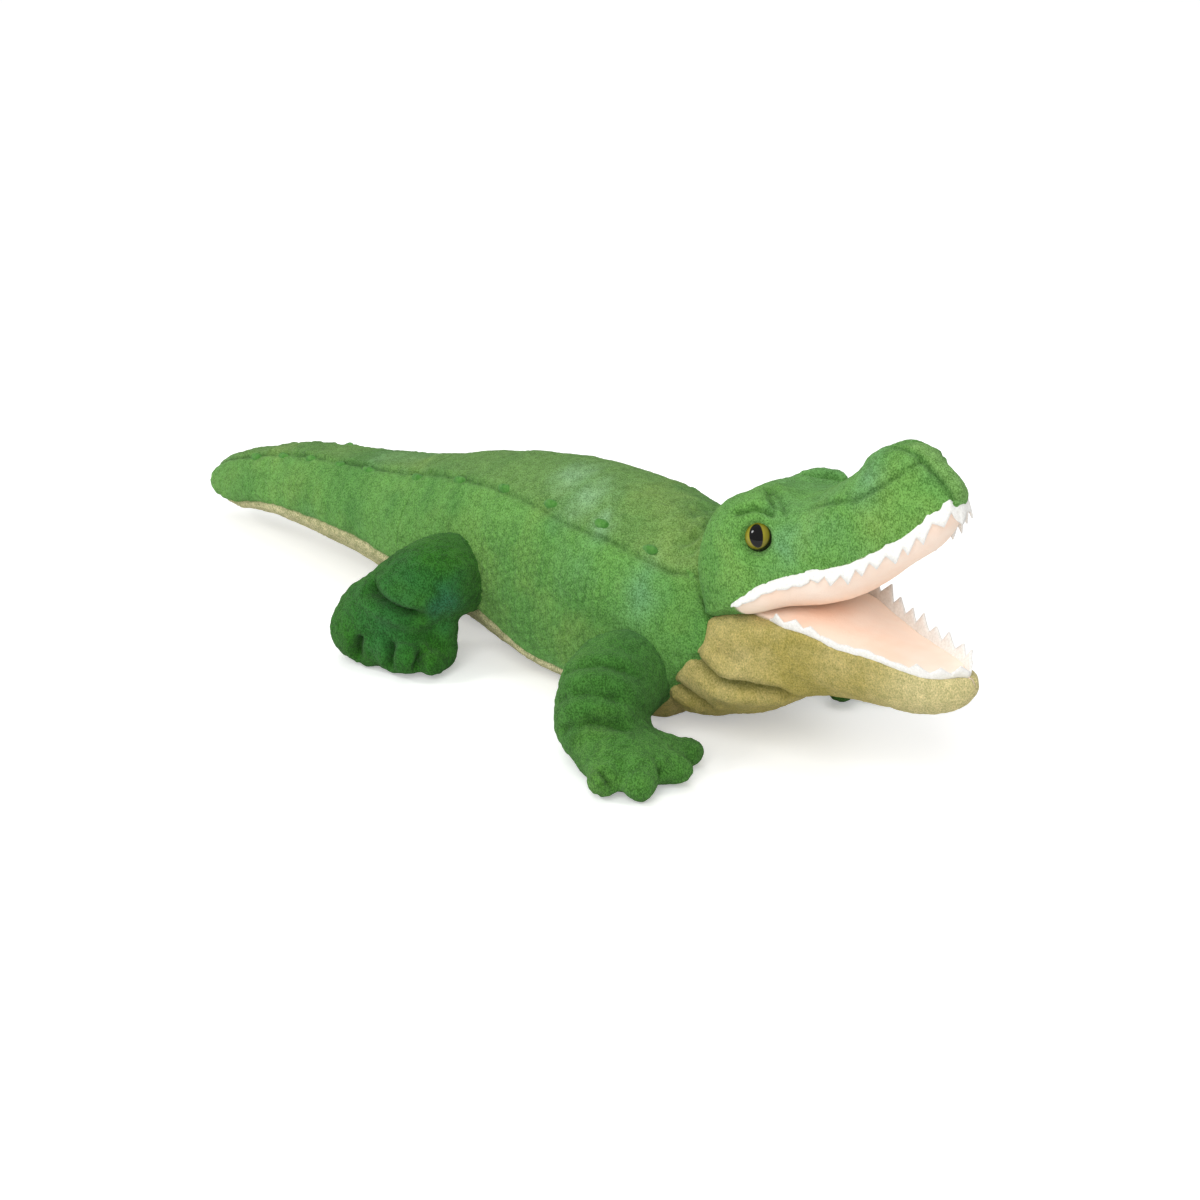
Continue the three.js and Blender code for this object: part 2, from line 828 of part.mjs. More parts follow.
function toeSolid(leg, [heading, share]) {
  const toe = new THREE.SphereGeometry(1, toeSteps, toeRings);
  toe.rotateZ(halfTurn / 2);
  toe.scale(toeHalfLength, toeRadius, toeRadius);
  toe.translate(share * leg.toeLength - toeHalfLength, 0, 0);
  toe.rotateZ((heading * halfTurn) / 180);
  toe.translate(
    leg.hingeX + leg.pawCentre[1] * leg.stride,
    -(seatHalfSpan + leg.pawCentre[0] * leg.reach),
    toeRadius - restFlatDepth,
  );
  return solidOf(toe);
}

function limbSolid(stations, inset) {
  const form = curvedForm(shrunk(stations, inset));
  const last = stations.length - 1;
  const turns = spread(0, 2 * halfTurn, limbSteps);
  return tubeSolid(stations.map((_, i) => turns.map((turn) => form.at(i / last, turn))));
}

// Everything nearer the toy's middle than a half span
function innerSlab(halfSpan) {
  const box = new THREE.BoxGeometry(2 * overallLength, 2 * halfSpan, 2 * overallLength);
  return solidOf(box);
}

// Arm and paw shrunk by an inset, on a plug that starts at the seat or runs past it
function limbBody(leg, inset, plugOverrun) {
  const plugLength = limbClearHalfSpan + plushThickness * 2 - seatHalfSpan + plugOverrun;
  const plugStart = seatHalfSpan + seamGap - plugOverrun;
  const plugRadius = leg.seatRadius - seatClearance - inset;
  const plug = crossRod(leg.hingeX, leg.hingeZ, plugRadius, plugStart, plugLength, side.right);
  return limbSolid(armStations(leg), inset)
    .add(limbSolid(pawStations(leg), inset))
    .subtract(innerSlab(limbClearHalfSpan + inset))
    .add(plug);
}

// Cloth cover of a leg, open at its root, and the stuffing inside
function legSolids(leg) {
  const outer = leg.toeFan
    .reduce((sum, toe) => sum.add(toeSolid(leg, toe)), limbBody(leg, 0, 0))
    .subtract(floorCut);
  const cover = outer.subtract(limbBody(leg, plushThickness, overrun));
  const fill = limbBody(leg, plushThickness + limbCoreGap, 0);
  return { cover, fill };
}

// Largest body of a solid, without the slivers that a cut leaves
function mainBody(solid) {
  return solid.decompose().reduce((best, body) => (body.volume() > best.volume() ? body : best));
}

// Pieces are made for the right hand and mirrored to the left
const mirrored = (solid, hand) => (hand === side.left ? solid.mirror([0, 1, 0]) : solid);

// Seats that the torso's cloth and stuffing give way to
const headRootTool = rootTool(collar, seatClearance);
const tailRootTool = rootTool(tail, seatClearance);
const legSeats = Object.values(legs).flatMap((leg) => Object.values(side).map(
  (hand) => crossRod(leg.hingeX, leg.hingeZ, leg.seatRadius, seatHalfSpan, overrun, hand),
));
const torsoTools = [headRootTool, tailRootTool, ...legSeats, floorCut];

// Four panels and a core of the torso or the tail
function bodyParts(name, form, rows, seams, tools) {
  const back = (along) => halfTurn * smooth(seams, 1, along);
  const belly = (along) => halfTurn * smooth(seams, 2, along);
  const clothStart = form.root ? clothRows(rows, form) : rows;
  const cloth = { rows: clothStart, thickness: plushThickness, ...evenGaps };
  const whole = (angle) => (along) => 2 * halfTurn - angle(along);
  const minus = (angle) => (along) => -angle(along);
  const panels = {
    back_panel: { ...cloth, from: minus(back), to: back, steps: backSteps },
    side_panel_left: { ...cloth, from: back, to: belly, steps: sideSteps },
    belly_panel: { ...cloth, from: belly, to: whole(belly), steps: bellySteps },
    side_panel_right: { ...cloth, from: whole(belly), to: whole(back), steps: sideSteps },
  };
  const finish = {
    back_panel: colours.backGreen,
    side_panel_left: colours.sideGreen,
    side_panel_right: colours.sideGreen,
    belly_panel: colours.bellyTan,
  };
  Object.entries(panels).forEach(([piece, shape]) => {
    addPiece(`${name}_${piece}`, cutAll(panelSolid(form, shape), tools), finish[piece]);
  });
  const core = coreSolid(form, {
    rows,
    turns: bodyTurns(seams),
    inset: plushThickness + coreGap,
  });
  addPiece(`${name}_fill`, cutAll(core, tools), colours.stuffingWhite);
}

const group = new THREE.Group();

function addPiece(name, solid, colour, roughness = 0.95, metalness = 0) {
  const material = new THREE.MeshStandardMaterial({ color: colour, roughness, metalness });
  const mesh = new THREE.Mesh(geometryOf(solid), material);
  mesh.name = name;
  group.add(mesh);
  return solid;
}

// Solid that holds a form with its surface moved out by a clearance
function envelopeOf(form, rows, turns, clearance) {
  return tubeSolid(rows.map((along) => turns(along).map(
    (turn) => insetPoint(form, along, turn, -clearance),
  )));
}

// Room for the jaw at steps of its swing, with its round root, grown by the seat clearance
function jawSweep() {
  const rows = tableRows(jawStations).slice(0, jawToolRows);
  const jawBody = envelopeOf(jaw, rows, jawTurns, jawSeatClearance);
  return [jawCloseAngle, 0, jawOpenAngle].map((degrees) => {
    const pose = new THREE.Matrix4().makeTranslation(jawHingeX, 0, jawHingeHeight)
      .multiply(new THREE.Matrix4().makeRotationY((degrees * halfTurn) / 180))
      .multiply(new THREE.Matrix4().makeTranslation(-jawHingeX, 0, -jawHingeHeight));
    return jawBody.transform(pose.elements);
  }).reduce((sum, solid) => sum.add(solid), rootTool(jaw, jawSeatClearance));
}

// Place and outward direction on a form, for what is fixed to its surface
function surfaceFrame(form, along, turn) {
  const place = form.at(along, turn);
  const outward = place.clone().sub(insetPoint(form, along, turn, plushThickness)).normalize();
  return { place, outward };
}

// Solid made upright round Y, moved so that Y points along a direction
function standing(geometry, { place, outward }) {
  const up = new THREE.Vector3(0, 1, 0);
  geometry.applyQuaternion(new THREE.Quaternion().setFromUnitVectors(up, outward));
  geometry.translate(place.x, place.y, place.z);
  return solidOf(geometry);
}

// Round disc or rod round Y between two heights
function turnedRod(radius, low, high) {
  const rod = new THREE.CylinderGeometry(radius, radius, high - low, boreSteps);
  rod.translate(0, (high + low) / 2, 0);
  return rod;
}

// Eye: a dome with a thin rim and a stem through the cloth
function eyeShape() {
  const rim = eyeDiameter / 2;
  const stem = eyeStemDiameter / 2;
  const profile = [
    new THREE.Vector2(0, -eyeStemLength),
    new THREE.Vector2(stem, -eyeStemLength),
    new THREE.Vector2(stem, seamGap),
    new THREE.Vector2(rim, seamGap),
  ];
  for (let i = 0; i <= domeSteps; i += 1) {
    const rise = ((halfTurn / 2) * i) / domeSteps;
    const height = seamGap + eyeRimHeight + eyeDomeHeight * Math.sin(rise);
    profile.push(new THREE.Vector2(i === domeSteps ? 0 : rim * Math.cos(rise), height));
  }
  return new THREE.LatheGeometry(profile, boreSteps);
}

// Locking washer pushed onto the stem behind the cloth
function washerShape() {
  const bore = eyeStemDiameter / 2 + eyeBoreClearance;
  const outside = eyeWasherDiameter / 2;
  const top = -plushThickness - washerSetBack;
  const bottom = top - eyeWasherThickness;
  return new THREE.LatheGeometry([
    new THREE.Vector2(bore, bottom),
    new THREE.Vector2(outside, bottom),
    new THREE.Vector2(outside, top),
    new THREE.Vector2(bore, top),
    new THREE.Vector2(bore, bottom),
  ], boreSteps);
}

// Felt strip with a saw-toothed edge, along the lip seam from one corner of the mouth to the other
function teethStrip(form, rows, turnAt, startLength, upright) {
  const lipPoint = (hand) => (along) => surfaceFrame(form, along, hand * turnAt(along));
  const beforeTip = rows.slice(0, -1);
  const tip = lipPoint(side.right)(1);
  tip.place.x -= lipEdge;
  const path = [
    ...beforeTip.map(lipPoint(side.right)), tip, ...beforeTip.map(lipPoint(side.left)).reverse(),
  ];
  const lengths = [0];
  for (let i = 1; i < path.length; i += 1) {
    lengths.push(lengths[i - 1] + path[i].place.distanceTo(path[i - 1].place));
  }
  const whole = lengths[lengths.length - 1];
  const total = whole - 2 * startLength;
  const teeth = Math.round(total / toothPitch);
  const sample = (distance) => {
    let i = 1;
    while (i < path.length - 1 && lengths[i] < distance) i += 1;
    const t = (distance - lengths[i - 1]) / (lengths[i] - lengths[i - 1]);
    return {
      place: path[i - 1].place.clone().lerp(path[i].place, t),
      outward: path[i - 1].outward.clone().lerp(path[i].outward, t).normalize(),
    };
  };
  const toothProbe = toothPitch * toothProbeShare;
  const rings = [];
  for (let i = 0; i <= 2 * teeth; i += 1) {
    const distance = startLength + (total * i) / (2 * teeth);
    const { place, outward } = sample(distance);
    const before = sample(distance - toothProbe).place;
    const after = sample(distance + toothProbe).place;
    const along = after.clone().sub(before).normalize();
    const across = along.clone().cross(outward).setLength(feltThickness / 2);
    const tilted = outward.clone().add(upright).normalize();
    const height = i % 2 === 1 ? toothHeight : toothValleyHeight;
    const root = place.clone().addScaledVector(outward, -toothRootDepth);
    const tip = place.clone().addScaledVector(tilted, height);
    rings.push([
      root.clone().add(across), place.clone().add(across), tip.clone().add(across),
      tip.clone().sub(across), place.clone().sub(across), root.clone().sub(across),
    ]);
  }
  return tubeSolid(rings);
}

// Roll or nub of cloth that stands on a form, cut to its surface
function raisedRoll(form, along, turn, size, envelope) {
  const { place, outward } = surfaceFrame(form, along, turn);
  const ahead = form.at(along + probeStep, turn).sub(form.at(along, turn)).normalize();
  const across = ahead.clone().cross(outward).normalize();
  const roll = new THREE.SphereGeometry(1, rollSteps, rollRings);
  roll.scale(size.length / 2, size.height / 2, size.width / 2);
  roll.applyMatrix4(new THREE.Matrix4().makeBasis(ahead, outward, across));
  roll.translate(place.x, place.y, place.z);
  return solidOf(roll).subtract(envelope);
}

// Rows of a lining, which ends short of the strip round the tip
function liningRows(rows, length) {
  const beforeTip = rows.slice(0, -1);
  const last = beforeTip.pop();
  return [...beforeTip, last - (lipEdge + toothRootDepth + coreGap) / length];
}

function headParts() {
  const rows = tableRows(headShares);
  const cloth = { rows: clothRows(rows, head), thickness: plushThickness };
  const sweep = jawSweep();
  const envelope = envelopeOf(head, rows, headTurns, coreGap);
  const minusTop = (along) => -headTop(along);
  const topShape = { ...cloth, ...evenGaps, from: minusTop, to: headTop, steps: snoutTopSteps };
  const sideShape = { ...cloth, ...lipGaps, from: headTop, to: headLip, steps: snoutSideSteps };
  const behind = behindPlane(neckHingeX + seamGap);
  const upright = new THREE.Vector3(0, 0, -toothUprightShare);
  const teeth = teethStrip(head, rows, headLip, jawHingeAhead + upperTeethStart, upright);
  const tools = [sweep, behind];
  const sidePanel = mirrored(cutAll(panelSolid(head, sideShape), tools), side.left);
  const eye = surfaceFrame(head, eyeAlongShare, -halfTurn * eyeTurnShare);
  const stemBore = standing(
    turnedRod(eyeStemDiameter / 2 + eyeBoreClearance, -eyeStemLength - seamGap, overrun),
    eye,
  );
  const washerPocket = standing(
    turnedRod(
      eyeWasherDiameter / 2 + seamGap,
      -plushThickness - washerSetBack - eyeWasherThickness - seamGap,
      overrun,
    ),
    eye,
  );
  const browSize = { length: browLength, width: browWidth, height: browHeight };
  const brow = raisedRoll(head, browAlongShare, -halfTurn * browTurnShare, browSize, envelope);
  const eyeSolid = standing(eyeShape(), eye);
  const washerSolid = standing(washerShape(), eye);
  addPiece('head_top_panel', mainBody(cutAll(panelSolid(head, topShape), tools)), colours.backGreen);
  const rightSide = mainBody(sidePanel.subtract(stemBore));
  const inset = plushThickness + coreGap;
  const collarRows = spread(0, 1, collarSteps);
  const collarCore = coreSolid(collar, {
    rows: [...collarRows, 1],
    turns: () => spread(0, 2 * halfTurn, rootTurns),
    inset,
    rootInset: inset,
  });
  let core = coreSolid(head, { rows, turns: headTurns, inset }).add(collarCore).subtract(sweep);
  Object.entries(side).forEach(([handName, hand]) => {
    addPiece(`head_side_panel_${handName}`, mirrored(rightSide, hand), colours.sideGreen);
    addPiece(`eye_${handName}`, mirrored(eyeSolid, hand), colours.eyeAmber, 0.08);
    addPiece(`eye_washer_${handName}`, mirrored(washerSolid, hand), colours.washerWhite, 0.5);
    addPiece(`brow_${handName}`, mirrored(brow, hand), colours.sideGreen);
    core = core.subtract(mirrored(stemBore, hand)).subtract(mirrored(washerPocket, hand));
  });
  addPiece('head_fill', mainBody(core), colours.stuffingWhite);
  const lining = panelSolid(head, {
    rows: liningRows(rows.slice(palateFirstRow), headLength),
    thickness: liningThickness,
    fromGap: lipEdge,
    toGap: lipEdge,
    from: headLip,
    to: (along) => 2 * halfTurn - headLip(along),
    steps: liningSteps,
  });
  addPiece('palate_lining', mainBody(cutAll(lining, tools)), colours.peach);
  const throat = panelSolid(collar, {
    rows: [...clothRows(collarRows, collar), 1],
    thickness: plushThickness,
    ...evenGaps,
    from: () => halfTurn / 2,
    to: () => (3 * halfTurn) / 2,
    steps: rootTurns / 2,
  });
  addPiece('throat_panel', mainBody(cutAll(throat, [sweep, behind, envelope])), colours.jawTan);
  addPiece('neck_panel', mainBody(rootCover(collar).subtract(sweep)), colours.sideGreen);
  addPiece('upper_teeth', teeth, colours.feltWhite);
}

function jawParts() {
  const rows = tableRows(jawStations);
  const lip = (along) => halfTurn * smooth(jawSeamShares, 1, along);
  const floor = panelSolid(jaw, {
    rows: liningRows(clothRows(rows, jaw), jawLength),
    thickness: liningThickness,
    fromGap: lipEdge,
    toGap: lipEdge,
    from: (along) => -lip(along),
    to: lip,
    steps: liningSteps,
  });
  const under = panelSolid(jaw, {
    rows: clothRows(rows, jaw),
    thickness: plushThickness,
    fromGap: lipEdge,
    toGap: lipEdge,
    from: lip,
    to: (along) => 2 * halfTurn - lip(along),
    steps: 2 * jawSideSteps,
  });
  const upright = new THREE.Vector3(0, 0, toothUprightShare);
  const teeth = teethStrip(jaw, rows, lip, lowerTeethStart, upright);
  const tools = [behindPlane(jawHingeX + seamGap)];
  addPiece('mouth_floor_lining', mainBody(cutAll(floor, tools)), colours.peach);
  addPiece('jaw_panel', mainBody(cutAll(under, tools)), colours.jawTan);
  const inset = plushThickness + coreGap;
  const behindRoot = [behindPlane(jawHingeX - seamGap / 2)];
  const core = coreSolid(jaw, { rows, turns: jawTurns, inset, rootInset: inset, behindRoot });
  addPiece('jaw_fill', mainBody(core), colours.stuffingWhite);
  addPiece('throat_fold', rootCover(jaw), colours.jawTan);
  addPiece('lower_teeth', teeth, colours.feltWhite);
}

function nubParts(name, form, shares, seams, rows) {
  const envelope = envelopeOf(form, rows, bodyTurns(seams), seamGap);
  const size = { length: nubLength, width: nubWidth, height: nubHeight };
  shares.forEach((along, index) => {
    const turn = -halfTurn * smooth(seams, 1, along);
    const nub = raisedRoll(form, along, turn, size, envelope);
    Object.entries(side).forEach(([handName, hand]) => {
      addPiece(`${name}_nub_${handName}_${index + 1}`, mirrored(nub, hand), colours.nubGreen);
    });
  });
}

bodyParts('torso', torso, tableRows(torsoShares), torsoSeamShares, torsoTools);
bodyParts('tail', tail, tableRows(tailShares), tailSeamShares, []);
headParts();
jawParts();
nubParts('torso', torso, torsoNubShares, torsoSeamShares, tableRows(torsoShares));
nubParts('tail', tail, tailNubShares, tailSeamShares, tableRows(tailShares));

Object.entries(legs).forEach(([place, leg]) => {
  const { cover, fill } = legSolids(leg);
  Object.entries(side).forEach(([handName, hand]) => {
    addPiece(`leg_${place}_${handName}_cover`, mirrored(cover, hand), colours.legGreen);
    addPiece(`leg_${place}_${handName}_fill`, mirrored(fill, hand), colours.stuffingWhite);
  });
});

export default group;
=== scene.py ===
"""Looks of the plush crocodile: cloth forms, felt teeth, plastic eyes, floor, light and camera.

Sizes are in millimetres, in the frame of the CAD model, and meshes in metres.
"""
import itertools
import math
import bpy
import numpy as np
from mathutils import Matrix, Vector


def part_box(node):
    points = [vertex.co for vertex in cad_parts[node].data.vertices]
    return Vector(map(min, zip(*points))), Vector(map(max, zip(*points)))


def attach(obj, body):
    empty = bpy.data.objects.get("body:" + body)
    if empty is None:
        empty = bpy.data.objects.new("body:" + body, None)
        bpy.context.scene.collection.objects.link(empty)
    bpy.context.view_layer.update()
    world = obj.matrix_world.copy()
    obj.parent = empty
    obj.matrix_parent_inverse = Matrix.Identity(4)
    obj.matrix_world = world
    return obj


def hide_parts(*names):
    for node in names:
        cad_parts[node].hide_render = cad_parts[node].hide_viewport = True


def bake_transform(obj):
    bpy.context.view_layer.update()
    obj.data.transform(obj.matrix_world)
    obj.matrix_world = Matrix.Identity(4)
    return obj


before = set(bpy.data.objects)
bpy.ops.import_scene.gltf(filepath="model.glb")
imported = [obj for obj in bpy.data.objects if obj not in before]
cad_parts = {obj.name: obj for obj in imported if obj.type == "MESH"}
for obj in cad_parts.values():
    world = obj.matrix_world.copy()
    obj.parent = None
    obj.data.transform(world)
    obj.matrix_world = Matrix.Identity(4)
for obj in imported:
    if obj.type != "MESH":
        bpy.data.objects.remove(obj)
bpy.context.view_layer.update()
MM = 0.001
FLOOR_GAP = 0.05
HANDS = {"right": -1, "left": 1}


# Shape tools

def curve(rows, column):
    """A smooth function through one column of a table of rows, without overshoot."""
    xs = np.array([row[0] for row in rows], float)
    ys = np.array([row[column] for row in rows], float)
    slope = np.diff(ys) / np.diff(xs)
    inner = np.where(slope[:-1] * slope[1:] > 0,
                     2 * slope[:-1] * slope[1:] / (slope[:-1] + slope[1:] + 1e-12), 0)
    tangents = np.concatenate([[slope[0]], inner, [slope[-1]]])

    def value(x):
        x = np.clip(x, xs[0], xs[-1])
        i = np.clip(np.searchsorted(xs, x, side="right") - 1, 0, len(xs) - 2)
        run = xs[i + 1] - xs[i]
        t = (x - xs[i]) / run
        return ((2 * t**3 - 3 * t**2 + 1) * ys[i] + (t**3 - 2 * t**2 + t) * run * tangents[i]
                + (3 * t**2 - 2 * t**3) * ys[i + 1] + (t**3 - t**2) * run * tangents[i + 1])
    return value


def smoothstep(low, high, x):
    """Smooth from 0 at the first value to 1 at the second."""
    t = np.clip((x - low) / (high - low), 0, 1)
    return t * t * (3 - 2 * t)


def lattice(i, j, k, seed):
    """A repeatable value from -1 to 1 for each point of a whole-number lattice."""
    h = (i * 73856093) ^ (j * 19349663) ^ (k * 83492791) ^ (seed * 374761393)
    h = ((h ^ (h >> 13)) * 1274126177) & 0xFFFFFFFF
    h = h ^ (h >> 16)
    return (h & 0xFFFFFF) / 0x7FFFFF - 1


def noise(points, size, seed):
    """Smooth noise with lumps of one size, or of a size for each axis."""
    p = points / np.asarray(size, float)
    base = np.floor(p).astype(np.int64)
    t = p - base
    t = t * t * (3 - 2 * t)
    total = 0
    for dx, dy, dz in itertools.product((0, 1), repeat=3):
        weight = (np.where(dx, t[:, 0], 1 - t[:, 0]) * np.where(dy, t[:, 1], 1 - t[:, 1])
                  * np.where(dz, t[:, 2], 1 - t[:, 2]))
        total = total + weight * lattice(base[:, 0] + dx, base[:, 1] + dy, base[:, 2] + dz, seed)
    return total


def pile(points, seed):
    """Height in millimetres of the matted short pile: soft lumps, tufts and fine fibres."""
    return (0.2 * noise(points, 8, seed) + 0.16 * noise(points, 3.4, seed + 1)
            + 0.26 * noise(points, (1.7, 1.7, 2.6), seed + 2))


def line_distance(points, line):
    """Distance to a line of places on the right side, and the share of the way along it."""
    p = points * (1, 0, 1) - np.abs(points * (0, 1, 0))
    line = np.array(line, float)
    lengths = np.linalg.norm(np.diff(line, axis=0), axis=1)
    whole, done = lengths.sum(), 0.0
    best, share = np.full(len(p), 1e9), np.zeros(len(p))
    for a, b, length in zip(line[:-1], line[1:], lengths):
        t = np.clip((p - a) @ (b - a) / length ** 2, 0, 1)
        distance = np.linalg.norm(p - a - t[:, None] * (b - a), axis=1)
        near = distance < best
        best = np.where(near, distance, best)
        share = np.where(near, (done + t * length) / whole, share)
        done += length
    return best, share


def creases(points, lines):
    """Creases of the cloth along lines, each with a width, a depth and a swell beside it."""
    relief = np.zeros(len(points))
    for width, depth, swell, line in lines:
        distance, share = line_distance(points, line)
        fade = smoothstep(0, 0.12, share) * smoothstep(1, 0.8, share)
        relief -= depth * np.exp(-(distance / width) ** 2) * fade
        relief += swell * np.exp(-((distance - 2.6 * width) / (1.6 * width)) ** 2) * fade
    return relief


def scale_cells(along, around, size):
    """Soft honeycomb cells: 0 in the grooves between them and 1 in the middle of each."""
    p = np.stack([around, along], -1) / size
    step = np.array([1, math.sqrt(3)])
    a = np.mod(p, step) - step / 2
    b = np.mod(p - step / 2, step) - step / 2
    near = np.where(((a ** 2).sum(-1) < (b ** 2).sum(-1))[..., None], a, b)
    near = np.abs(near)
    edge = 0.5 - np.maximum(near[..., 0], near[..., 0] * 0.5 + near[..., 1] * math.sqrt(3) / 2)
    return smoothstep(0.02, 0.2, edge)


def section(x, turn, shape, upper, lower):
    """Point of an upright section at a turn from the crown, positive to the left."""
    half, top, middle, bottom = (f(x) for f in shape)
    up = np.cos(turn) >= 0
    power = np.where(up, 2 / upper, 2 / lower)
    height = np.where(up, top - middle, middle - bottom)
    across = np.sign(np.sin(turn)) * np.abs(np.sin(turn)) ** power
    rise = np.sign(np.cos(turn)) * np.abs(np.cos(turn)) ** power
    return np.stack([x + 0 * turn, half * across, middle + height * rise], -1)


def grid_normals(points):
    """Outward normals of a grid of points whose second direction is closed."""
    along = np.gradient(points, axis=0)
    around = np.roll(points, -1, 1) - np.roll(points, 1, 1)
    normal = np.cross(around, along)
    length = np.linalg.norm(normal, axis=-1, keepdims=True)
    normal = normal / np.maximum(length, 1e-9)
    outward = points - points.mean(axis=1, keepdims=True)
    sign = np.sign((normal * outward).sum(-1).mean())
    return normal * sign


def density(step):
    return step * 1


def set_values(mesh, values):
    """Named values on the points of a mesh, for its material to read."""
    for key, value in values.items():
        layer = mesh.attributes.new(key, "FLOAT", "POINT")
        layer.data.foreach_set("value", np.asarray(value, np.float32))


def make_object(name, points, faces, values=None, smooth=True):
    """A mesh object from points in millimetres, with its named values on the points."""
    mesh = bpy.data.meshes.new(name)
    mesh.from_pydata((np.asarray(points) * MM).tolist(), [], faces)
    mesh.validate()
    set_values(mesh, values or {})
    mesh.polygons.foreach_set("use_smooth", [smooth] * len(mesh.polygons))
    mesh.update()
    obj = bpy.data.objects.new(name, mesh)
    bpy.context.scene.collection.objects.link(obj)
    return obj


def closed_tube(grid):
    """Points and faces of a tube with a fan at each end."""
    rows, columns = grid.shape[:2]
    faces = []
    for i in range(rows - 1):
        for j in range(columns):
            a, b = i * columns + j, i * columns + (j + 1) % columns
            faces.append((a, b, b + columns, a + columns))
    hub, last = rows * columns, (rows - 1) * columns
    faces += [(hub, (j + 1) % columns, j) for j in range(columns)]
    faces += [(hub + 1, last + j, last + (j + 1) % columns) for j in range(columns)]
    ends = np.array([grid[0].mean(0), grid[-1].mean(0)])
    return np.concatenate([grid.reshape(-1, 3), ends]), faces


def tube_object(name, grid, values):
    """A closed tube from a grid of points, with named values."""
    closed = {}
    for key, value in values.items():
        value = value.reshape(grid.shape[:2])
        closed[key] = np.concatenate([value.reshape(-1), [value[0].mean(), value[-1].mean()]])
    return make_object(name, *closed_tube(grid), closed)


def raised(points, relief):
    """A grid of points moved out by a relief, and kept above the floor."""
    points = points + grid_normals(points) * relief.reshape(*points.shape[:2], 1)
    points[..., 2] = np.maximum(points[..., 2], FLOOR_GAP)
    return points


def surface_nets(field, low, high, step):
    """Points and faces where a field changes sign on a grid, negative inside."""
    axes = [np.arange(a, b + step, step) for a, b in zip(low, high)]
    values = field(*np.meshgrid(*axes, indexing="ij"))
    cells = tuple(np.array(values.shape) - 1)
    total, count = np.zeros((*cells, 3)), np.zeros(cells)

    def corner(offset):
        return values[tuple(slice(d, d + c) for d, c in zip(offset, cells))]
    for axis in range(3):
        for pair in itertools.product((0, 1), repeat=2):
            start = list(pair)
            start.insert(axis, 0)
            end = list(start)
            end[axis] = 1
            a, b = corner(start), corner(end)
            crosses = (a < 0) != (b < 0)
            t = np.where(crosses, a / np.where(crosses, a - b, 1), 0)
            for k in range(3):
                total[..., k] += crosses * (start[k] + (t if k == axis else 0))
            count += crosses
    active = count > 0
    index = np.full(cells, -1)
    index[active] = np.arange(active.sum())
    places = np.argwhere(active) + total[active] / count[active][:, None]
    points = places * step + np.array(low)
    faces = []
    for axis in range(3):
        u, v = [k for k in range(3) if k != axis]
        first = [slice(None)] * 3
        second = [slice(None)] * 3
        first[axis], second[axis] = slice(0, -1), slice(1, None)
        a, b = values[tuple(first)] < 0, values[tuple(second)] < 0
        edge = np.argwhere(a != b)
        keep = ((edge[:, u] > 0) & (edge[:, v] > 0)
                & (edge[:, u] < cells[u]) & (edge[:, v] < cells[v]))
        edge = edge[keep]
        starts_inside = a[tuple(edge.T)]
        quads = []
        for du, dv in ((1, 1), (0, 1), (0, 0), (1, 0)):
            cell = edge.copy()
            cell[:, u] -= du
            cell[:, v] -= dv
            quads.append(index[tuple(cell.T)])
        quads = np.stack(quads, 1)
        flip = starts_inside if axis == 1 else ~starts_inside
        quads[flip] = quads[flip][:, ::-1]
        faces += quads.tolist()
    return points, faces


def smooth_min(a, b, k):
    """The smaller of two fields, blended over a width where they are close."""
    h = np.clip(0.5 + 0.5 * (b - a) / k, 0, 1)
    return b + (a - b) * h - k * h * (1 - h)


def capsule(x, y, z, a, b, ra, rb):
    """Distance to a tapered capsule between two points."""
    p = np.stack([x - a[0], y - a[1], z - a[2]], -1)
    d = np.subtract(b, a).astype(float)
    t = np.clip((p @ d) / (d @ d), 0, 1)
    return np.linalg.norm(p - t[..., None] * d, axis=-1) - (ra + (rb - ra) * t)


def ellipsoid(x, y, z, middle, radii, heading):
    """Rough distance to an ellipsoid turned by a heading in degrees."""
    dx, dy, dz = x - middle[0], y - middle[1], z - middle[2]
    c, s = math.cos(math.radians(heading)), math.sin(math.radians(heading))
    dx, dy = dx * c + dy * s, dy * c - dx * s
    q = np.sqrt((dx / radii[0]) ** 2 + (dy / radii[1]) ** 2 + (dz / radii[2]) ** 2)
    return (q - 1) * min(radii)


def vertex_vectors(obj, key):
    """Places in metres or normals of the vertices."""
    flat = np.empty(len(obj.data.vertices) * 3, np.float32)
    obj.data.vertices.foreach_get(key, flat)
    return flat.reshape(-1, 3).astype(float)


def vertex_points(obj):
    """Places of the vertices in millimetres."""
    return vertex_vectors(obj, "co") / MM


def push(obj, amount):
    """Moves each vertex out along its normal by an amount, and keeps it above the floor."""
    points = vertex_points(obj) + vertex_vectors(obj, "normal") * amount[:, None]
    points[:, 2] = np.maximum(points[:, 2], FLOOR_GAP)
    obj.data.vertices.foreach_set("co", (points * MM).astype(np.float32).ravel())
    obj.data.update()


# Tables of sections: along, half width, top, height of the widest part, bottom

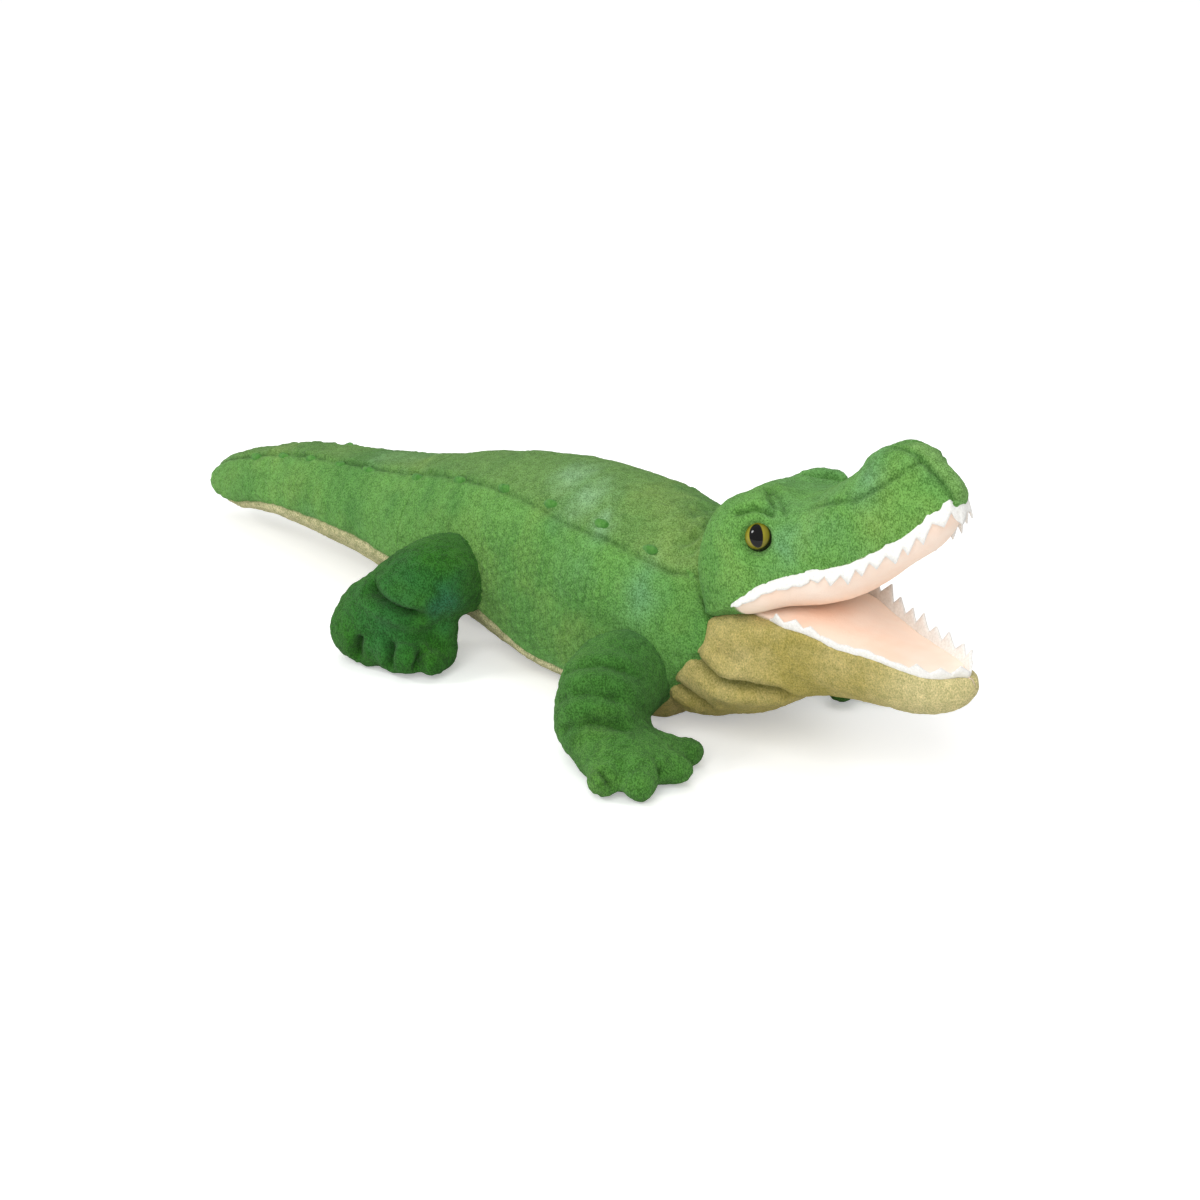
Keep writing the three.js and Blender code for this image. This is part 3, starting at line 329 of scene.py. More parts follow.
TRUNK = [(-255.5, 1, 19.6, 18.6, 17.4), (-254.5, 2.8, 21.6, 18.6, 15.8),
    (-251.5, 5.6, 25, 19.8, 14.4), (-246, 9.2, 30, 21.4, 12.4), (-238, 12.4, 35, 23.2, 11.4),
    (-225, 15, 41, 25.8, 11.2), (-210, 17, 46.2, 28.6, 12.8), (-187, 19.6, 53.4, 32.2, 14.6),
    (-163, 22.2, 59.4, 35.4, 15.2), (-139, 24.8, 63, 37.8, 14.2), (-116, 27.4, 67.2, 39, 12.6),
    (-94, 30.4, 71.4, 39.8, 9.6), (-65, 35.6, 78, 41.4, 5.6), (-35, 38.6, 87, 44.4, 2.6),
    (-2, 40.6, 95, 47.2, 0.6), (32, 43.2, 99.2, 49.2, 0.2), (66, 44, 100.2, 49.8, 0.2),
    (92, 43.2, 95.6, 49, 0.2), (110, 41.4, 90.6, 48, 0.4), (128, 39, 88.4, 47, 4.5),
    (150, 36, 87, 46, 9)]
HEAD = [(104, 31, 86, 56, 30), (112, 34, 91.5, 57, 35), (118, 36.6, 98, 58, 40),
    (127, 38.2, 107.8, 62, 54), (136, 38.6, 115.6, 66, 60.5), (146, 38, 119.2, 72, 66.4),
    (157, 36.6, 120.4, 80.9, 69.6), (168, 33.2, 121.4, 89.7, 72.2), (180, 29.4, 127.4, 96.7, 75.4),
    (192, 25.9, 136.8, 102.6, 80.8), (203, 23.2, 146.4, 107.4, 88.8),
    (213, 20.8, 152.8, 113.7, 97.6), (222, 18.6, 153.8, 119.6, 104.8),
    (230, 15.6, 151.4, 125.2, 111.4), (236, 11.6, 148.4, 130.8, 119), (241, 7.2, 145, 135.2, 127.6),
    (244, 3.6, 142.2, 137.8, 134.4)]
JAW = [(102, 32, 52, 38, 5), (110, 37, 60, 40, 4.4), (120, 38.8, 66, 42, 5.4),
    (130, 38.4, 71, 50, 9), (140, 38.4, 73.5, 56, 12.2), (150, 36.8, 73.4, 58, 16),
    (160, 34, 72.6, 61, 22.6), (170, 31, 72.2, 65.6, 28.8), (182, 27.6, 71, 67, 33.2),
    (196, 23.4, 68, 64.4, 36.4), (211, 19.2, 66, 62.8, 37.8), (226, 16.2, 64.4, 61.2, 38.8),
    (238, 13.2, 63.2, 60.2, 42), (246, 9.6, 62.8, 59.8, 46.4), (251, 6.6, 63, 60, 50.6),
    (254, 4, 62.8, 59.4, 54.4), (256, 1.8, 60.2, 58.4, 57.2)]
# Powers of the curves of the sections: 2 is round, and more is squarer
CROWN_POWER, SNOUT_POWER, ROOF_POWER, FLOOR_POWER, THROAT_POWER = 1.95, 2.1, 2.3, 2.6, 2.25
BELLY_POWERS = [(-94, 1.85), (-35, 1.8), (0, 2.25), (32, 3.1), (66, 3.2), (134, 3.1)]
trunk_shape, head_shape, jaw_shape = (
    [curve(table, k) for k in (1, 2, 3, 4)] for table in (TRUNK, HEAD, JAW))
belly_power = curve(BELLY_POWERS, 1)

# Places along the toy where its pieces of cloth end
TAIL_TIP, TAIL_ROOT, TORSO_FRONT, HEAD_TIP, JAW_TIP = -255.5, -66, 140, 244.4, 255.9
# Laps below a neighbour, and lengths and depths of the tucks there
TORSO_LAP, JAW_LAP, HOOD_LAP = 7, 6, 4
TUCK_LENGTH, HOOD_TUCK_LENGTH = 11, 10
TORSO_TUCK, JAW_TUCK, HOOD_TUCK = 7.5, 7.0, 7.0
# Rough lengths, for the number of points
TRUNK_ROUND, JAW_LENGTH, JAW_ROUND = 300, 150, 250
SCALE_SIZE = 4.9

# Lips: place along the toy, and degrees from the crown
UPPER_LIP = [(150, 109), (160, 101), (172, 99), (190, 99.5), (204, 102.5), (226, 104), (232, 100),
    (238, 94), (242.4, 94), (244.3, 176)]
LOWER_LIP = [(146, 38), (158, 44), (164, 48), (170, 56), (177, 63.5), (190, 64), (198, 70),
    (206, 68), (212, 63), (236, 62), (242, 53), (247, 34), (250.5, 10), (252, 4)]
upper_lip, lower_lip = curve(UPPER_LIP, 1), curve(LOWER_LIP, 1)
# Seams: place along the toy, and degrees from the crown to the back seam and the belly seam
SEAMS = [(-255.5, 30, 150), (-225, 30, 134), (-203, 30, 118), (-170, 30, 110), (-94, 30, 107),
    (-58, 30, 109), (-28, 35.5, 113), (2, 40.5, 120), (26, 44.5, 127), (50, 48.5, 128),
    (90, 48.5, 127), (108, 47, 122), (120, 43, 116), (150, 38, 108)]
back_seam, belly_seam = curve(SEAMS, 1), curve(SEAMS, 2)
# Edges of torso, head and throat: degrees from the crown, and place along the toy
TORSO_END = [(0, 116), (30, 126), (45, 131), (62, 135), (80, 139), (86, 138.5), (93, 128),
    (105, 117), (125, 109), (150, 102), (180, 99)]
HOOD_START = [(0, 114), (30, 124), (45, 129), (62, 131.5), (85, 137), (100, 139), (180, 140)]
THROAT_START = [(0, 143), (50, 143), (64, 137.5), (80, 138.5), (90, 138), (96, 127), (105, 116),
    (125, 108), (150, 101), (180, 98)]
torso_end, hood_start, throat_start = (curve(t, 1) for t in (TORSO_END, HOOD_START, THROAT_START))

# Brow, cheek and muzzle of the head: middle, radii, heading and width of the blend
HEAD_SWELLS = [((153, 22.5, 107), (17, 12, 13), -8, 7), ((150, 28, 88), (18, 10, 18), 0, 9),
    ((214, 6.5, 144), (10, 6, 6.5), 0, 7)]
EYE_SOCKET = ((163.6, 35.0, 108.2), (7.6, 6.4, 7.4), -22)

# Seams of the snout, as places on the right side
RIDGE_SEAM = [(168.5, -23, 117.5), (173.1, -19.6, 119.1), (180.1, -18.7, 121.7),
    (189.5, -18.8, 125.5), (205.5, -18.7, 131.9), (214.6, -16, 138.8), (222, -12.6, 145.4),
    (226.6, -5.9, 150)]
NOSE_SEAM = [(212, -5.5, 153.6), (222.4, -4.8, 152.4), (226.6, -5, 150), (230.6, -4.6, 148.5),
    (234.2, -4.3, 146.4), (238.1, -4.3, 143.6), (243.3, -4, 138.1)]
# Creases: width, depth, swell beside it, and places on the right side
HEAD_CREASES = [
    (1.6, 3.4, 1.2, [(145, -10.5, 118.6), (150, -12.9, 119.4), (159.1, -19.7, 120.4),
        (164.1, -23.2, 118.6), (165.9, -26.3, 116.3)]),
    (1.5, 3, 1.1, [(144.8, -8, 118.6), (154.3, -12, 119.9), (163.5, -17.7, 119.7),
        (168.4, -21.7, 118), (168.9, -25.2, 116)]),
    (1.3, 2.8, 0.8, [(149.7, -33.3, 114.2), (153.9, -31.1, 116.6), (157.9, -28, 118.2),
        (162.9, -26.1, 117.7), (167.9, -25.3, 116.2)])]
THROAT_FOLDS = [
    (3, 4.8, 2.6, [(130, -38, 49), (134.8, -37.7, 45.1), (145.5, -35, 37.4), (156.5, -30.5, 37.6),
        (168.3, -22, 36.9), (174, -9.7, 31.1)]),
    (2.6, 3.6, 1.9, [(116, -36, 33), (122.2, -35.7, 28.4), (130.6, -31.7, 22.2),
        (133, -23.6, 15.2)]),
    (3, 1.3, 0.8, [(139.7, -35.6, 57.2), (151.1, -35, 51.2), (158.4, -32.9, 48.2)])]
TRUNK_CREASES = [
    (2.2, 2.4, 1.4, [(106.5, 0, 91.3), (109.7, -9, 89.4), (109.1, -17, 86.7),
        (105.7, -22.2, 84.4)]),
    (2, 2, 1, [(113.8, -6, 88.9), (114.4, -16.2, 86.1), (113.1, -24, 82)]),
    (2.4, 1.2, 0.7, [(94.8, 0, 94.7), (101.4, -6.7, 92.1), (104, -15.6, 88.7)])]

# Patches of bluer and of darker dye: place and radius
COOL_PATCHES = [(32, -12, 97, 12), (50, -20, 93, 10), (101, -38, 67, 11), (66, -30, 87, 8),
    (208, -14, 140, 9), (-4, -60, 37, 9), (176, -30, 108, 9)]
DEEP_PATCHES = [(-54, -25, 70, 15), (-30, -30, 71, 12), (-76, -27, 60, 10), (128, -38, 72, 14),
    (-205, -16, 32, 9), (-150, -22, 40, 10), (-110, -26, 44, 9)]

# Right legs: capsules with two ends and two radii, pads with a heading, and the toes' blend
FRONT_LEG = {
    "shade": 0.65, "seed": 51, "soft": 4.5, "box": ((66, -112, -6), (170, -24, 62)),
    "pads": [((126, -74, 10), (24, 21.5, 12.5), -30)],
    "chain": [
        ((99, -30, 30), (101, -53, 30), 18.8, 19.6), ((101, -53, 30), (105, -66, 26.5), 19.6, 18.4),
        ((105, -66, 26.5), (107.5, -75, 18.5), 18.4, 16.2)],
    "toes": [
        ((132, -88, 8.6), (136.6, -96.6, 7.4), 7.6, 6.8),
        ((143, -82, 8.6), (150, -87.8, 7.4), 7.8, 6.8),
        ((146, -69, 8.6), (150.6, -65.8, 7.4), 7.8, 6.8),
        ((137, -58, 8.6), (141.2, -49.5, 7.4), 7.4, 6.6)],
    "creases": [
        (2.2, 2, 1.1, [(92, -79, 35), (95, -78, 39.2), (105.6, -73.9, 45), (115.8, -65.9, 44),
            (122, -56.9, 36.6)]),
        (2, 2, 1, [(95, -84.5, 27), (99.4, -85.7, 29.9), (111.2, -82.2, 36.3),
            (121.3, -74.2, 34.3), (123.5, -56.5, 22)]),
        (2.2, 2.2, 1.1, [(104, -90, 17), (108.5, -90.8, 21.3), (117.7, -85.5, 25.5),
            (125.7, -76.7, 23.4), (132.4, -70.2, 21.7)]),
        (1.5, 2.8, 0.9, [(146, -96, 3), (144.5, -97.9, 8.2), (142, -99.5, 12.1), (135, -98, 14.5)]),
        (1.5, 2.4, 0.8, [(156, -77, 3), (153.4, -77.6, 8.4), (146, -76, 15)]),
        (1.5, 2.4, 0.8, [(154, -58, 5), (151.5, -60, 11), (145, -62, 16)])]}
REAR_LEG = {
    "shade": 1, "seed": 61, "soft": 2, "box": ((-90, -104, -6), (22, -24, 78)),
    "pads": [((-33, -66, 11), (27, 15.5, 12), -14)],
    "chain": [
        ((-20, -30, 41), (-21, -50, 42), 18.6, 18.4),
        ((-21, -50, 42), (-28, -60, 34.5), 18.4, 18.4),
        ((-28, -60, 34.5), (-41.5, -69, 23.5), 18.4, 16.8),
        ((-41.5, -69, 23.5), (-47.5, -74, 15.5), 16.8, 15.2)],
    "toes": [
        ((-48, -71, 9), (-52.5, -76, 7.6), 8.4, 7.2), ((-37, -68, 8.8), (-39, -75.2, 7.6), 8, 6.8),
        ((-21, -64, 8.8), (-22, -71, 7.6), 8, 6.8), ((-11, -58, 9), (-8, -64.2, 7.6), 7.8, 6.6),
        ((-12, -56, 12), (-14, -54, 27), 8.4, 8)],
    "creases": [
        (2.2, 4.4, 1.6, [(-38, -76, 46), (-32.7, -79.3, 40.8), (-26.6, -79.8, 38.3),
            (-21, -78.7, 36.1), (-16.6, -76.5, 34.4), (-12.6, -72.7, 33), (-10, -62, 31)]),
        (2, 4.6, 1.2, [(-38.1, -85.4, 0), (-37.5, -85.4, 10.8), (-36.1, -85.8, 15.4),
            (-34.8, -86.1, 20.3)]),
        (2, 4.6, 1.2, [(-20.4, -81.7, 0), (-19.8, -81.7, 12.2), (-20.2, -80.1, 16),
            (-21.3, -77.7, 20.5)]),
        (2, 4.6, 1.2, [(-8.7, -74.4, 0), (-8.1, -74.4, 8.6), (-7.6, -72.8, 13.3),
            (-10.1, -68.8, 16.8)])]}
LEGS = {"front": FRONT_LEG, "rear": REAR_LEG}


# Forms of the cloth

def groove(distance, width, depth):
    """A dent along a line, from the distance to the line."""
    return -depth * np.exp(-(distance / width) ** 2)


def stitch_noise(points, pitch, seed):
    """Noise that changes at a pitch along the toy, and hardly across it."""
    return noise(points, (pitch, 60, 60), seed)


def seam_relief(points, distance, seed):
    """A seam's groove with puckers beside it."""
    pucker = np.exp(-(distance / 6) ** 2) * 0.55 * stitch_noise(points, 4.2, seed)
    swell = 0.5 * np.exp(-((np.abs(distance) - 4.5) / 3) ** 2)
    return groove(distance, 1.3, 1.0) + pucker + swell


def radius_at(x, turn, shape):
    """Rough radius of a section, for lengths round it."""
    half, top, middle, bottom = (f(x) for f in shape)
    height = np.where(np.cos(turn) >= 0, top - middle, middle - bottom)
    return np.sqrt((half * np.cos(turn)) ** 2 + (height * np.sin(turn)) ** 2) + 2


def painted_crease_shade(relief):
    """How much painted shade a crease gets, from its depth below the cloth in millimetres."""
    return np.clip(-relief / 3.5, 0, 0.9)


def patches(points, spots):
    """Share of another dye in soft patches."""
    total = np.zeros(len(points))
    for x, y, z, radius in spots:
        away = (points - (x, y, z)) * (1.25, 1, 0.8)
        away += radius * 0.35 * noise(points, radius * 0.8, 3)[:, None]
        total = np.maximum(total, np.exp(-(away ** 2).sum(1) / radius ** 2))
    return total


# Shares on each point: belly, tan and lining are cloths, back and leg are greens, cool and deep
# are dyes, pale is a paler colour, and groove is painted shade in seams, creases and scale grooves
VALUES = ("belly", "back", "groove", "leg", "tan", "lining", "cool", "deep", "pale")


def plush_values(count, **given):
    """The plush material's values, with 0 where none is given."""
    return {key: np.zeros(count) + given.get(key, 0) for key in VALUES}


def tube_turns(rows, columns):
    """Share of the way along a tube, turn from the crown, and that turn's size in degrees."""
    share = np.linspace(0, 1, rows)[:, None]
    turn = np.linspace(-math.pi, math.pi, columns, endpoint=False)[None, :] + 0 * share
    return share, turn, np.abs(np.degrees(turn))


def round_from(line, x, turn, shape):
    """Distance round the sections from a line of angles."""
    angle = np.radians(np.abs(np.degrees(turn)) - line(x))
    return (angle * radius_at(x, turn, shape)).reshape(-1)


def trunk_piece(name, low, high, front, seed):
    """Cloth of the torso or the tail, between two places along the toy."""
    rows, columns = int((high - low) / density(0.95)), int(TRUNK_ROUND / density(1.0))
    share, turn, degrees = tube_turns(rows, columns)
    end = torso_end(degrees) + TORSO_LAP if front else high + 0 * turn
    if not front:
        share = share ** 1.25
    x = low + (end - low) * share
    points = section(x, turn, trunk_shape, CROWN_POWER, belly_power(x))
    flat = points.reshape(-1, 3)
    x = flat[:, 0]
    to_back, to_belly = (round_from(seam, points[..., 0], turn, trunk_shape)
                         for seam in (back_seam, belly_seam))
    relief = 1.1 * pile(flat, seed)
    relief += seam_relief(flat, to_back, seed + 5)
    gathers = np.maximum(stitch_noise(flat, 3.2, seed + 10), 0)
    relief += 1.1 * np.exp(-((to_back + 2.2) / 1.7) ** 2) * gathers
    relief += seam_relief(flat, to_belly, seed + 6)
    relief += 1.1 * noise(flat, 38, seed + 8) + 0.5 * noise(flat, 15, seed + 7)
    folds = creases(flat, TRUNK_CREASES)
    relief += folds
    embossed = (smoothstep(8, 24, to_back) * smoothstep(-4, -14, to_belly)
                * smoothstep(-30, 5, x) * smoothstep(96, 72, x))
    warp = 1.5 * noise(flat, 16, seed + 9)
    cells = scale_cells(x + warp, to_back + warp, SCALE_SIZE)
    relief += embossed * (0.6 * cells - 0.38)
    if front:
        over = np.clip((x - (end.reshape(-1) - TUCK_LENGTH)) / TUCK_LENGTH, 0, 1)
        relief -= TORSO_TUCK * over ** 2
    # Painted shade along the back seam, uneven along it, and in the grooves between the scales
    seam_shade_strength = 0.6 + 0.5 * stitch_noise(flat, 3.4, seed + 4)
    dark = np.exp(-(to_back / 1.1) ** 2) * seam_shade_strength + 0.38 * embossed * (1 - cells)
    belly = smoothstep(-0.8, 0.8, to_belly)
    values = plush_values(len(flat), belly=belly, tan=belly * smoothstep(86, 96, x),
                          back=smoothstep(5, -5, to_back), groove=dark + painted_crease_shade(folds),
                          cool=patches(flat, COOL_PATCHES), deep=patches(flat, DEEP_PATCHES))
    obj = tube_object(name, raised(points, relief), values)
    # The flat cap keeps the shading even where the torso meets the tail
    cap = slice(-2 * columns, -columns) if front else slice(-columns, None)
    for face in obj.data.polygons[cap]:
        face.use_smooth = False
    return obj


def jaw_piece(name, seed):
    """Cloth of the throat and the lower jaw, with the floor of the mouth."""
    rows, columns = int(JAW_LENGTH / density(1.0)), int(JAW_ROUND / density(1.1))
    share, turn, degrees = tube_turns(rows, columns)
    start = throat_start(degrees) - JAW_LAP
    x = start + (JAW_TIP - start) * (1 - (1 - share) ** 1.2)
    points = section(x, turn, jaw_shape, FLOOR_POWER, THROAT_POWER)
    flat = points.reshape(-1, 3)
    to_lip = round_from(lower_lip, x, turn, jaw_shape)
    lining = smoothstep(0.3, -0.6, to_lip)
    relief = pile(flat, seed) * (1 - 0.75 * lining)
    relief += groove(to_lip, 1.2, 0.8)
    relief += 0.8 * noise(flat, 25, seed + 3) * (1 - lining)
    behind = flat[:, 0] - start.reshape(-1)
    folds = creases(flat, THROAT_FOLDS) * (1 - lining) * (0.3 + 0.7 * smoothstep(6, 18, behind))
    relief += folds
    relief -= JAW_TUCK * np.clip(1 - behind / TUCK_LENGTH, 0, 1) ** 2
    # The groove value is painted shade in the throat folds
    values = plush_values(len(flat), groove=painted_crease_shade(folds), tan=1, lining=lining,
                          pale=0.85 * smoothstep(205, 240, flat[:, 0]))
    return tube_object(name, raised(points, relief), values)


def head_field(x, y, z):
    """Rough distance to the head, negative inside."""
    half, top, middle, bottom = (f(x) for f in head_shape)
    height = np.where(z >= middle, top - middle, middle - bottom)
    crown_power = SNOUT_POWER + 0.5 * smoothstep(186, 168, x) - 0.65 * smoothstep(208, 232, x)
    power = np.where(z >= middle, crown_power, ROOF_POWER)
    q = ((np.abs(y) / half) ** power + (np.abs(z - middle) / height) ** power) ** (1 / power)
    field = np.maximum((q - 1) * np.minimum(half, top - middle) * 0.9, x - HEAD_TIP)
    y = np.abs(y)
    for middle, radii, heading, blend in HEAD_SWELLS:
        field = smooth_min(field, ellipsoid(x, y, z, middle, radii, heading), blend)
    return -smooth_min(-field, ellipsoid(x, y, z, *EYE_SOCKET), 2.0)


def head_piece(name, seed):
    """Cloth of the head, with the roof of the mouth."""
    points, faces = surface_nets(head_field, (103, -46, 26), (250, 46, 160), density(1.05))
    obj = make_object(name, points, faces)
    points = vertex_points(obj)
    x, y, z = points.T
    half, top, middle, bottom = (f(x) for f in head_shape)
    height = np.where(z >= middle, top - middle, middle - bottom)
    turn = np.arctan2(np.abs(y) / half, (z - middle) / height)
    to_lip = (turn - np.radians(upper_lip(x))) * radius_at(x, turn, head_shape)
    lining = smoothstep(-0.6, 0.6, to_lip) * smoothstep(154.5, 157, x)
    outside = 1 - lining
    to_ridge, to_nose = (line_distance(points, seam)[0] for seam in (RIDGE_SEAM, NOSE_SEAM))
    ridge = smoothstep(170, 190, x) * outside
    gusset = smoothstep(4.6, 3.4, np.abs(y)) * smoothstep(214, 222, x) * smoothstep(135, 139, z)
    gusset *= outside
    folds = creases(points, HEAD_CREASES) * outside
    relief = 1.1 * pile(points, seed) * (1 - 0.75 * lining)
    relief += ridge * (1.2 * np.exp(-(to_ridge / 4.5) ** 2) + groove(to_ridge, 1.1, 1.6))
    relief += groove(to_nose, 1.1, 1.5) * outside + 0.9 * gusset
    relief += 0.9 * noise(points, 24, seed + 6) * outside + folds
    over = np.clip(1 - (x - hood_start(np.degrees(turn)) + HOOD_LAP) / HOOD_TUCK_LENGTH, 0, 1.7)
    relief -= HOOD_TUCK * over ** 2.5
    push(obj, relief)
    # Painted shade along the ridge and nose seams, and in the creases of the brow
    painted_seam_shade = np.maximum(ridge * np.exp(-(to_ridge / 1.3) ** 2),
                       np.exp(-(to_nose / 1.3) ** 2) * outside)
    set_values(obj.data, plush_values(
        len(points), groove=0.7 * painted_seam_shade + painted_crease_shade(folds), lining=lining, pale=0.7 * gusset,
        cool=patches(points, COOL_PATCHES), deep=patches(points, DEEP_PATCHES)))
    return obj


def leg_field(leg):
    """Rough distance to a leg of the right side, negative inside."""
    def field(x, y, z):
        limb = None
        for a, b, ra, rb in leg["chain"]:
            part = capsule(x, y, z, a, b, ra, rb)
            limb = part if limb is None else smooth_min(limb, part, 7)
        for middle, radii, heading in leg["pads"]:
            limb = smooth_min(limb, ellipsoid(x, y, z, middle, radii, heading), 6)
        for a, b, ra, rb in leg["toes"]:
            limb = smooth_min(limb, capsule(x, y, z, a, b, ra, rb), leg["soft"])
        return np.maximum(limb, 0.2 - z)
    return field


def leg_piece(name, leg, hand):
    """One leg, sewn from two sides, with four toes. The left legs mirror the right ones."""
    low, high = leg["box"]
    points, faces = surface_nets(leg_field(leg), low, high, density(1.0))
    if hand > 0:
        points = points * (1, -1, 1)
        faces = [face[::-1] for face in faces]
    obj = make_object(name, points, faces)
    points = vertex_points(obj)
    folds = creases(points, leg["creases"])
    relief = 1.5 * pile(points, leg["seed"]) + 0.9 * noise(points, 17, leg["seed"] + 3)
    push(obj, relief + folds - 0.4)
    # The groove value is painted shade in the leg's creases
    set_values(obj.data, plush_values(len(points), groove=painted_crease_shade(folds), leg=leg["shade"],
                                      cool=patches(points, COOL_PATCHES)))
    return obj


# Materials

def colour(hexa):
    """Linear colour of a hexadecimal sRGB one."""
    parts = [int(hexa[i:i + 2], 16) / 255 for i in (0, 2, 4)]
    return [c / 12.92 if c <= 0.04045 else ((c + 0.055) / 1.055) ** 2.4 for c in parts] + [1]


class Nodes:
    """Short calls for the nodes of one material."""

    def __init__(self, name):
        self.material = bpy.data.materials.new(name)
        self.material.use_nodes = True
        self.tree = self.material.node_tree
        self.tree.nodes.clear()
        self.out = self.add("OutputMaterial")

    def add(self, kind, inputs=None, **settings):
        node = self.tree.nodes.new("ShaderNode" + kind)
        for key, value in settings.items():
            setattr(node, key, value)
        for key, value in (inputs or {}).items():
            self.set(node.inputs[key], value)
        return node

    def set(self, socket, value):
        if isinstance(value, bpy.types.NodeSocket):
            self.tree.links.new(value, socket)
        else:
            socket.default_value = value

    def value(self, name):
        return self.add("Attribute", attribute_name=name).outputs["Fac"]

    def math(self, operation, a, b=0.0, clamp=False):
        node = self.add("Math", operation=operation, use_clamp=clamp)
        self.set(node.inputs[0], a)
        self.set(node.inputs[1], b)
        return node.outputs[0]

    def times(self, a, b):
        return self.math("MULTIPLY", a, b)

    def length(self, a, b):
        return self.math("SQRT", self.math("ADD", self.times(a, a), self.times(b, b)))

    def place(self):
        return self.add("TexCoord").outputs["Object"]

    def mapped(self, key, value):
        """Places with a scale for each axis, or moved away for another pattern."""
        return self.add("Mapping", {"Vector": self.place(), key: value}).outputs[0]

    def noise(self, scale, detail=3.0, roughness=0.6, place=None):
        return self.add("TexNoise", {
            "Vector": place or self.place(), "Scale": scale, "Detail": detail,
            "Roughness": roughness}).outputs["Fac"]

    def ramp(self, fac, low, high):
        return self.add("MapRange", {
            "Value": fac, "From Min": low, "From Max": high}, clamp=True).outputs["Result"]

    def mix(self, fac, a, b, blend="MIX"):
        node = self.add("Mix", data_type="RGBA", blend_type=blend)
        self.set(node.inputs[0], fac)
        self.set(node.inputs[6], a)
        self.set(node.inputs[7], b)
        return node.outputs[2]

    def bump(self, height, strength, depth):
        inputs = {"Height": height, "Strength": strength, "Distance": depth}
        return self.add("Bump", inputs).outputs[0]

    def finish(self, **inputs):
        inputs = {key.replace("_", " "): value for key, value in inputs.items()}
        shader = self.add("BsdfPrincipled", inputs)
        self.tree.links.new(shader.outputs[0], self.out.inputs["Surface"])
        return self.material


# Dyes of the green pile: ground, darker, yellower and bluer
SIDE_DYES = ("6ca450", "4c873e", "87ae57", "70a57a")
BACK_DYES = ("6d9850", "548743", "8aa95a", "8fbb8c")
LEG_DYES = ("316d21", "265a1e", "4b8230", "2f6d50")
# Pairs of colours that cloud into each other
BEIGE, TAN, PEACH = ("c3bf8e", "d2cca0"), ("b3a55a", "cabb7c"), ("fbe0ce", "fdece0")
PALE_GREEN, PALE_TAN = "82b062", "ddd29c"
# Factors on a colour: painted shade between tufts, painted light on tufts, painted crease shade
TUFT_SHADOW, TUFT_LIGHT, CREASE = (0.54, 0.60, 0.46, 1), (1.35, 1.29, 1.33, 1), (0.34, 0.42, 0.3, 1)


def plush_colour(n):
    """Mottled greens, tan, beige and peach, chosen by the values on the points."""
    dark = n.ramp(n.noise(13.0, 3.0, 0.55, n.mapped("Scale", (1.7, 1, 0.6))), 0.5, 0.68)
    yellow = n.ramp(n.noise(17.0, 3.0, 0.6, n.mapped("Location", (3.1, -3.1, 3.1))), 0.52, 0.7)
    teal = n.ramp(n.noise(15.0, 3.0, 0.6, n.mapped("Location", (7.7, -7.7, 7.7))), 0.56, 0.74)
    clouds = n.ramp(n.noise(30.0), 0.36, 0.64)

    def mottled(dyes, amount, patch):
        base, deep, warm, cool = (colour(dye) for dye in dyes)
        out = n.mix(n.times(dark, amount), base, deep)
        out = n.mix(n.times(yellow, amount), out, warm)
        out = n.mix(n.times(n.value("deep"), patch), out, deep)
        part = n.math("MAXIMUM", n.times(teal, amount * 0.6), n.times(n.value("cool"), patch))
        return n.mix(part, out, cool)

    def cloudy(pair):
        return n.mix(clouds, *map(colour, pair))

    base = n.mix(n.value("back"), mottled(SIDE_DYES, 0.6, 0.6), mottled(BACK_DYES, 0.75, 0.75))
    base = n.mix(n.value("leg"), base, mottled(LEG_DYES, 0.6, 0.8))
    base = n.mix(n.value("pale"), base, colour(PALE_GREEN))
    base = n.mix(n.value("belly"), base, cloudy(BEIGE))
    tan = n.mix(n.value("pale"), cloudy(TAN), colour(PALE_TAN))
    base = n.mix(n.value("tan"), base, tan)
    return n.mix(n.value("lining"), base, cloudy(PEACH))


def plush_material():
    """Short matted pile: painted light on tufts, painted shade between them and in creases."""
    n = Nodes("plush")
    base = plush_colour(n)
    place = n.mapped("Scale", (1, 1.2, 0.75))
    tufts = n.math("SUBTRACT", n.noise(1500.0, roughness=0.7, place=place), 0.5)
    lumps = n.math("SUBTRACT", n.noise(260.0), 0.5)
    plain = n.math("SUBTRACT", 1.0, n.value("lining"))
    gain = n.math("ADD", 4.5, n.times(n.value("leg"), 3.2))
    gain = n.times(n.math("SUBTRACT", gain, n.times(n.value("tan"), 2.1)), plain)
    # The pile's tone varies a little and carries painted light and shade, strongest on the legs
    shade = n.math("ADD", n.times(tufts, gain), n.times(lumps, n.times(gain, 0.35)))
    middle = n.math("ADD", 0.5, n.times(n.value("lining"), 0.12))
    shade = n.math("ADD", shade, middle, True)
    base = n.mix(shade, n.mix(1.0, base, TUFT_SHADOW, "MULTIPLY"),
                 n.mix(1.0, base, TUFT_LIGHT, "MULTIPLY"))
    # Painted shade where groove is high: along seams, in creases and between scales
    base = n.mix(n.times(n.value("groove"), 0.85), base, n.mix(1.0, base, CREASE, "MULTIPLY"))
    coarse = n.times(n.noise(330.0), 0.5)
    height = n.math("ADD", n.noise(1300.0, 3.0, 0.65, place), coarse)
    height = n.times(height, n.math("ADD", n.times(plain, 0.85), 0.15))
    return n.finish(Base_Color=base, Roughness=0.95, Normal=n.bump(height, 0.9, 0.0014),
                    Sheen_Weight=0.1, Sheen_Roughness=0.5, Sheen_Tint=(0.85, 1.0, 0.8, 1),
                    Specular_IOR_Level=0.08)


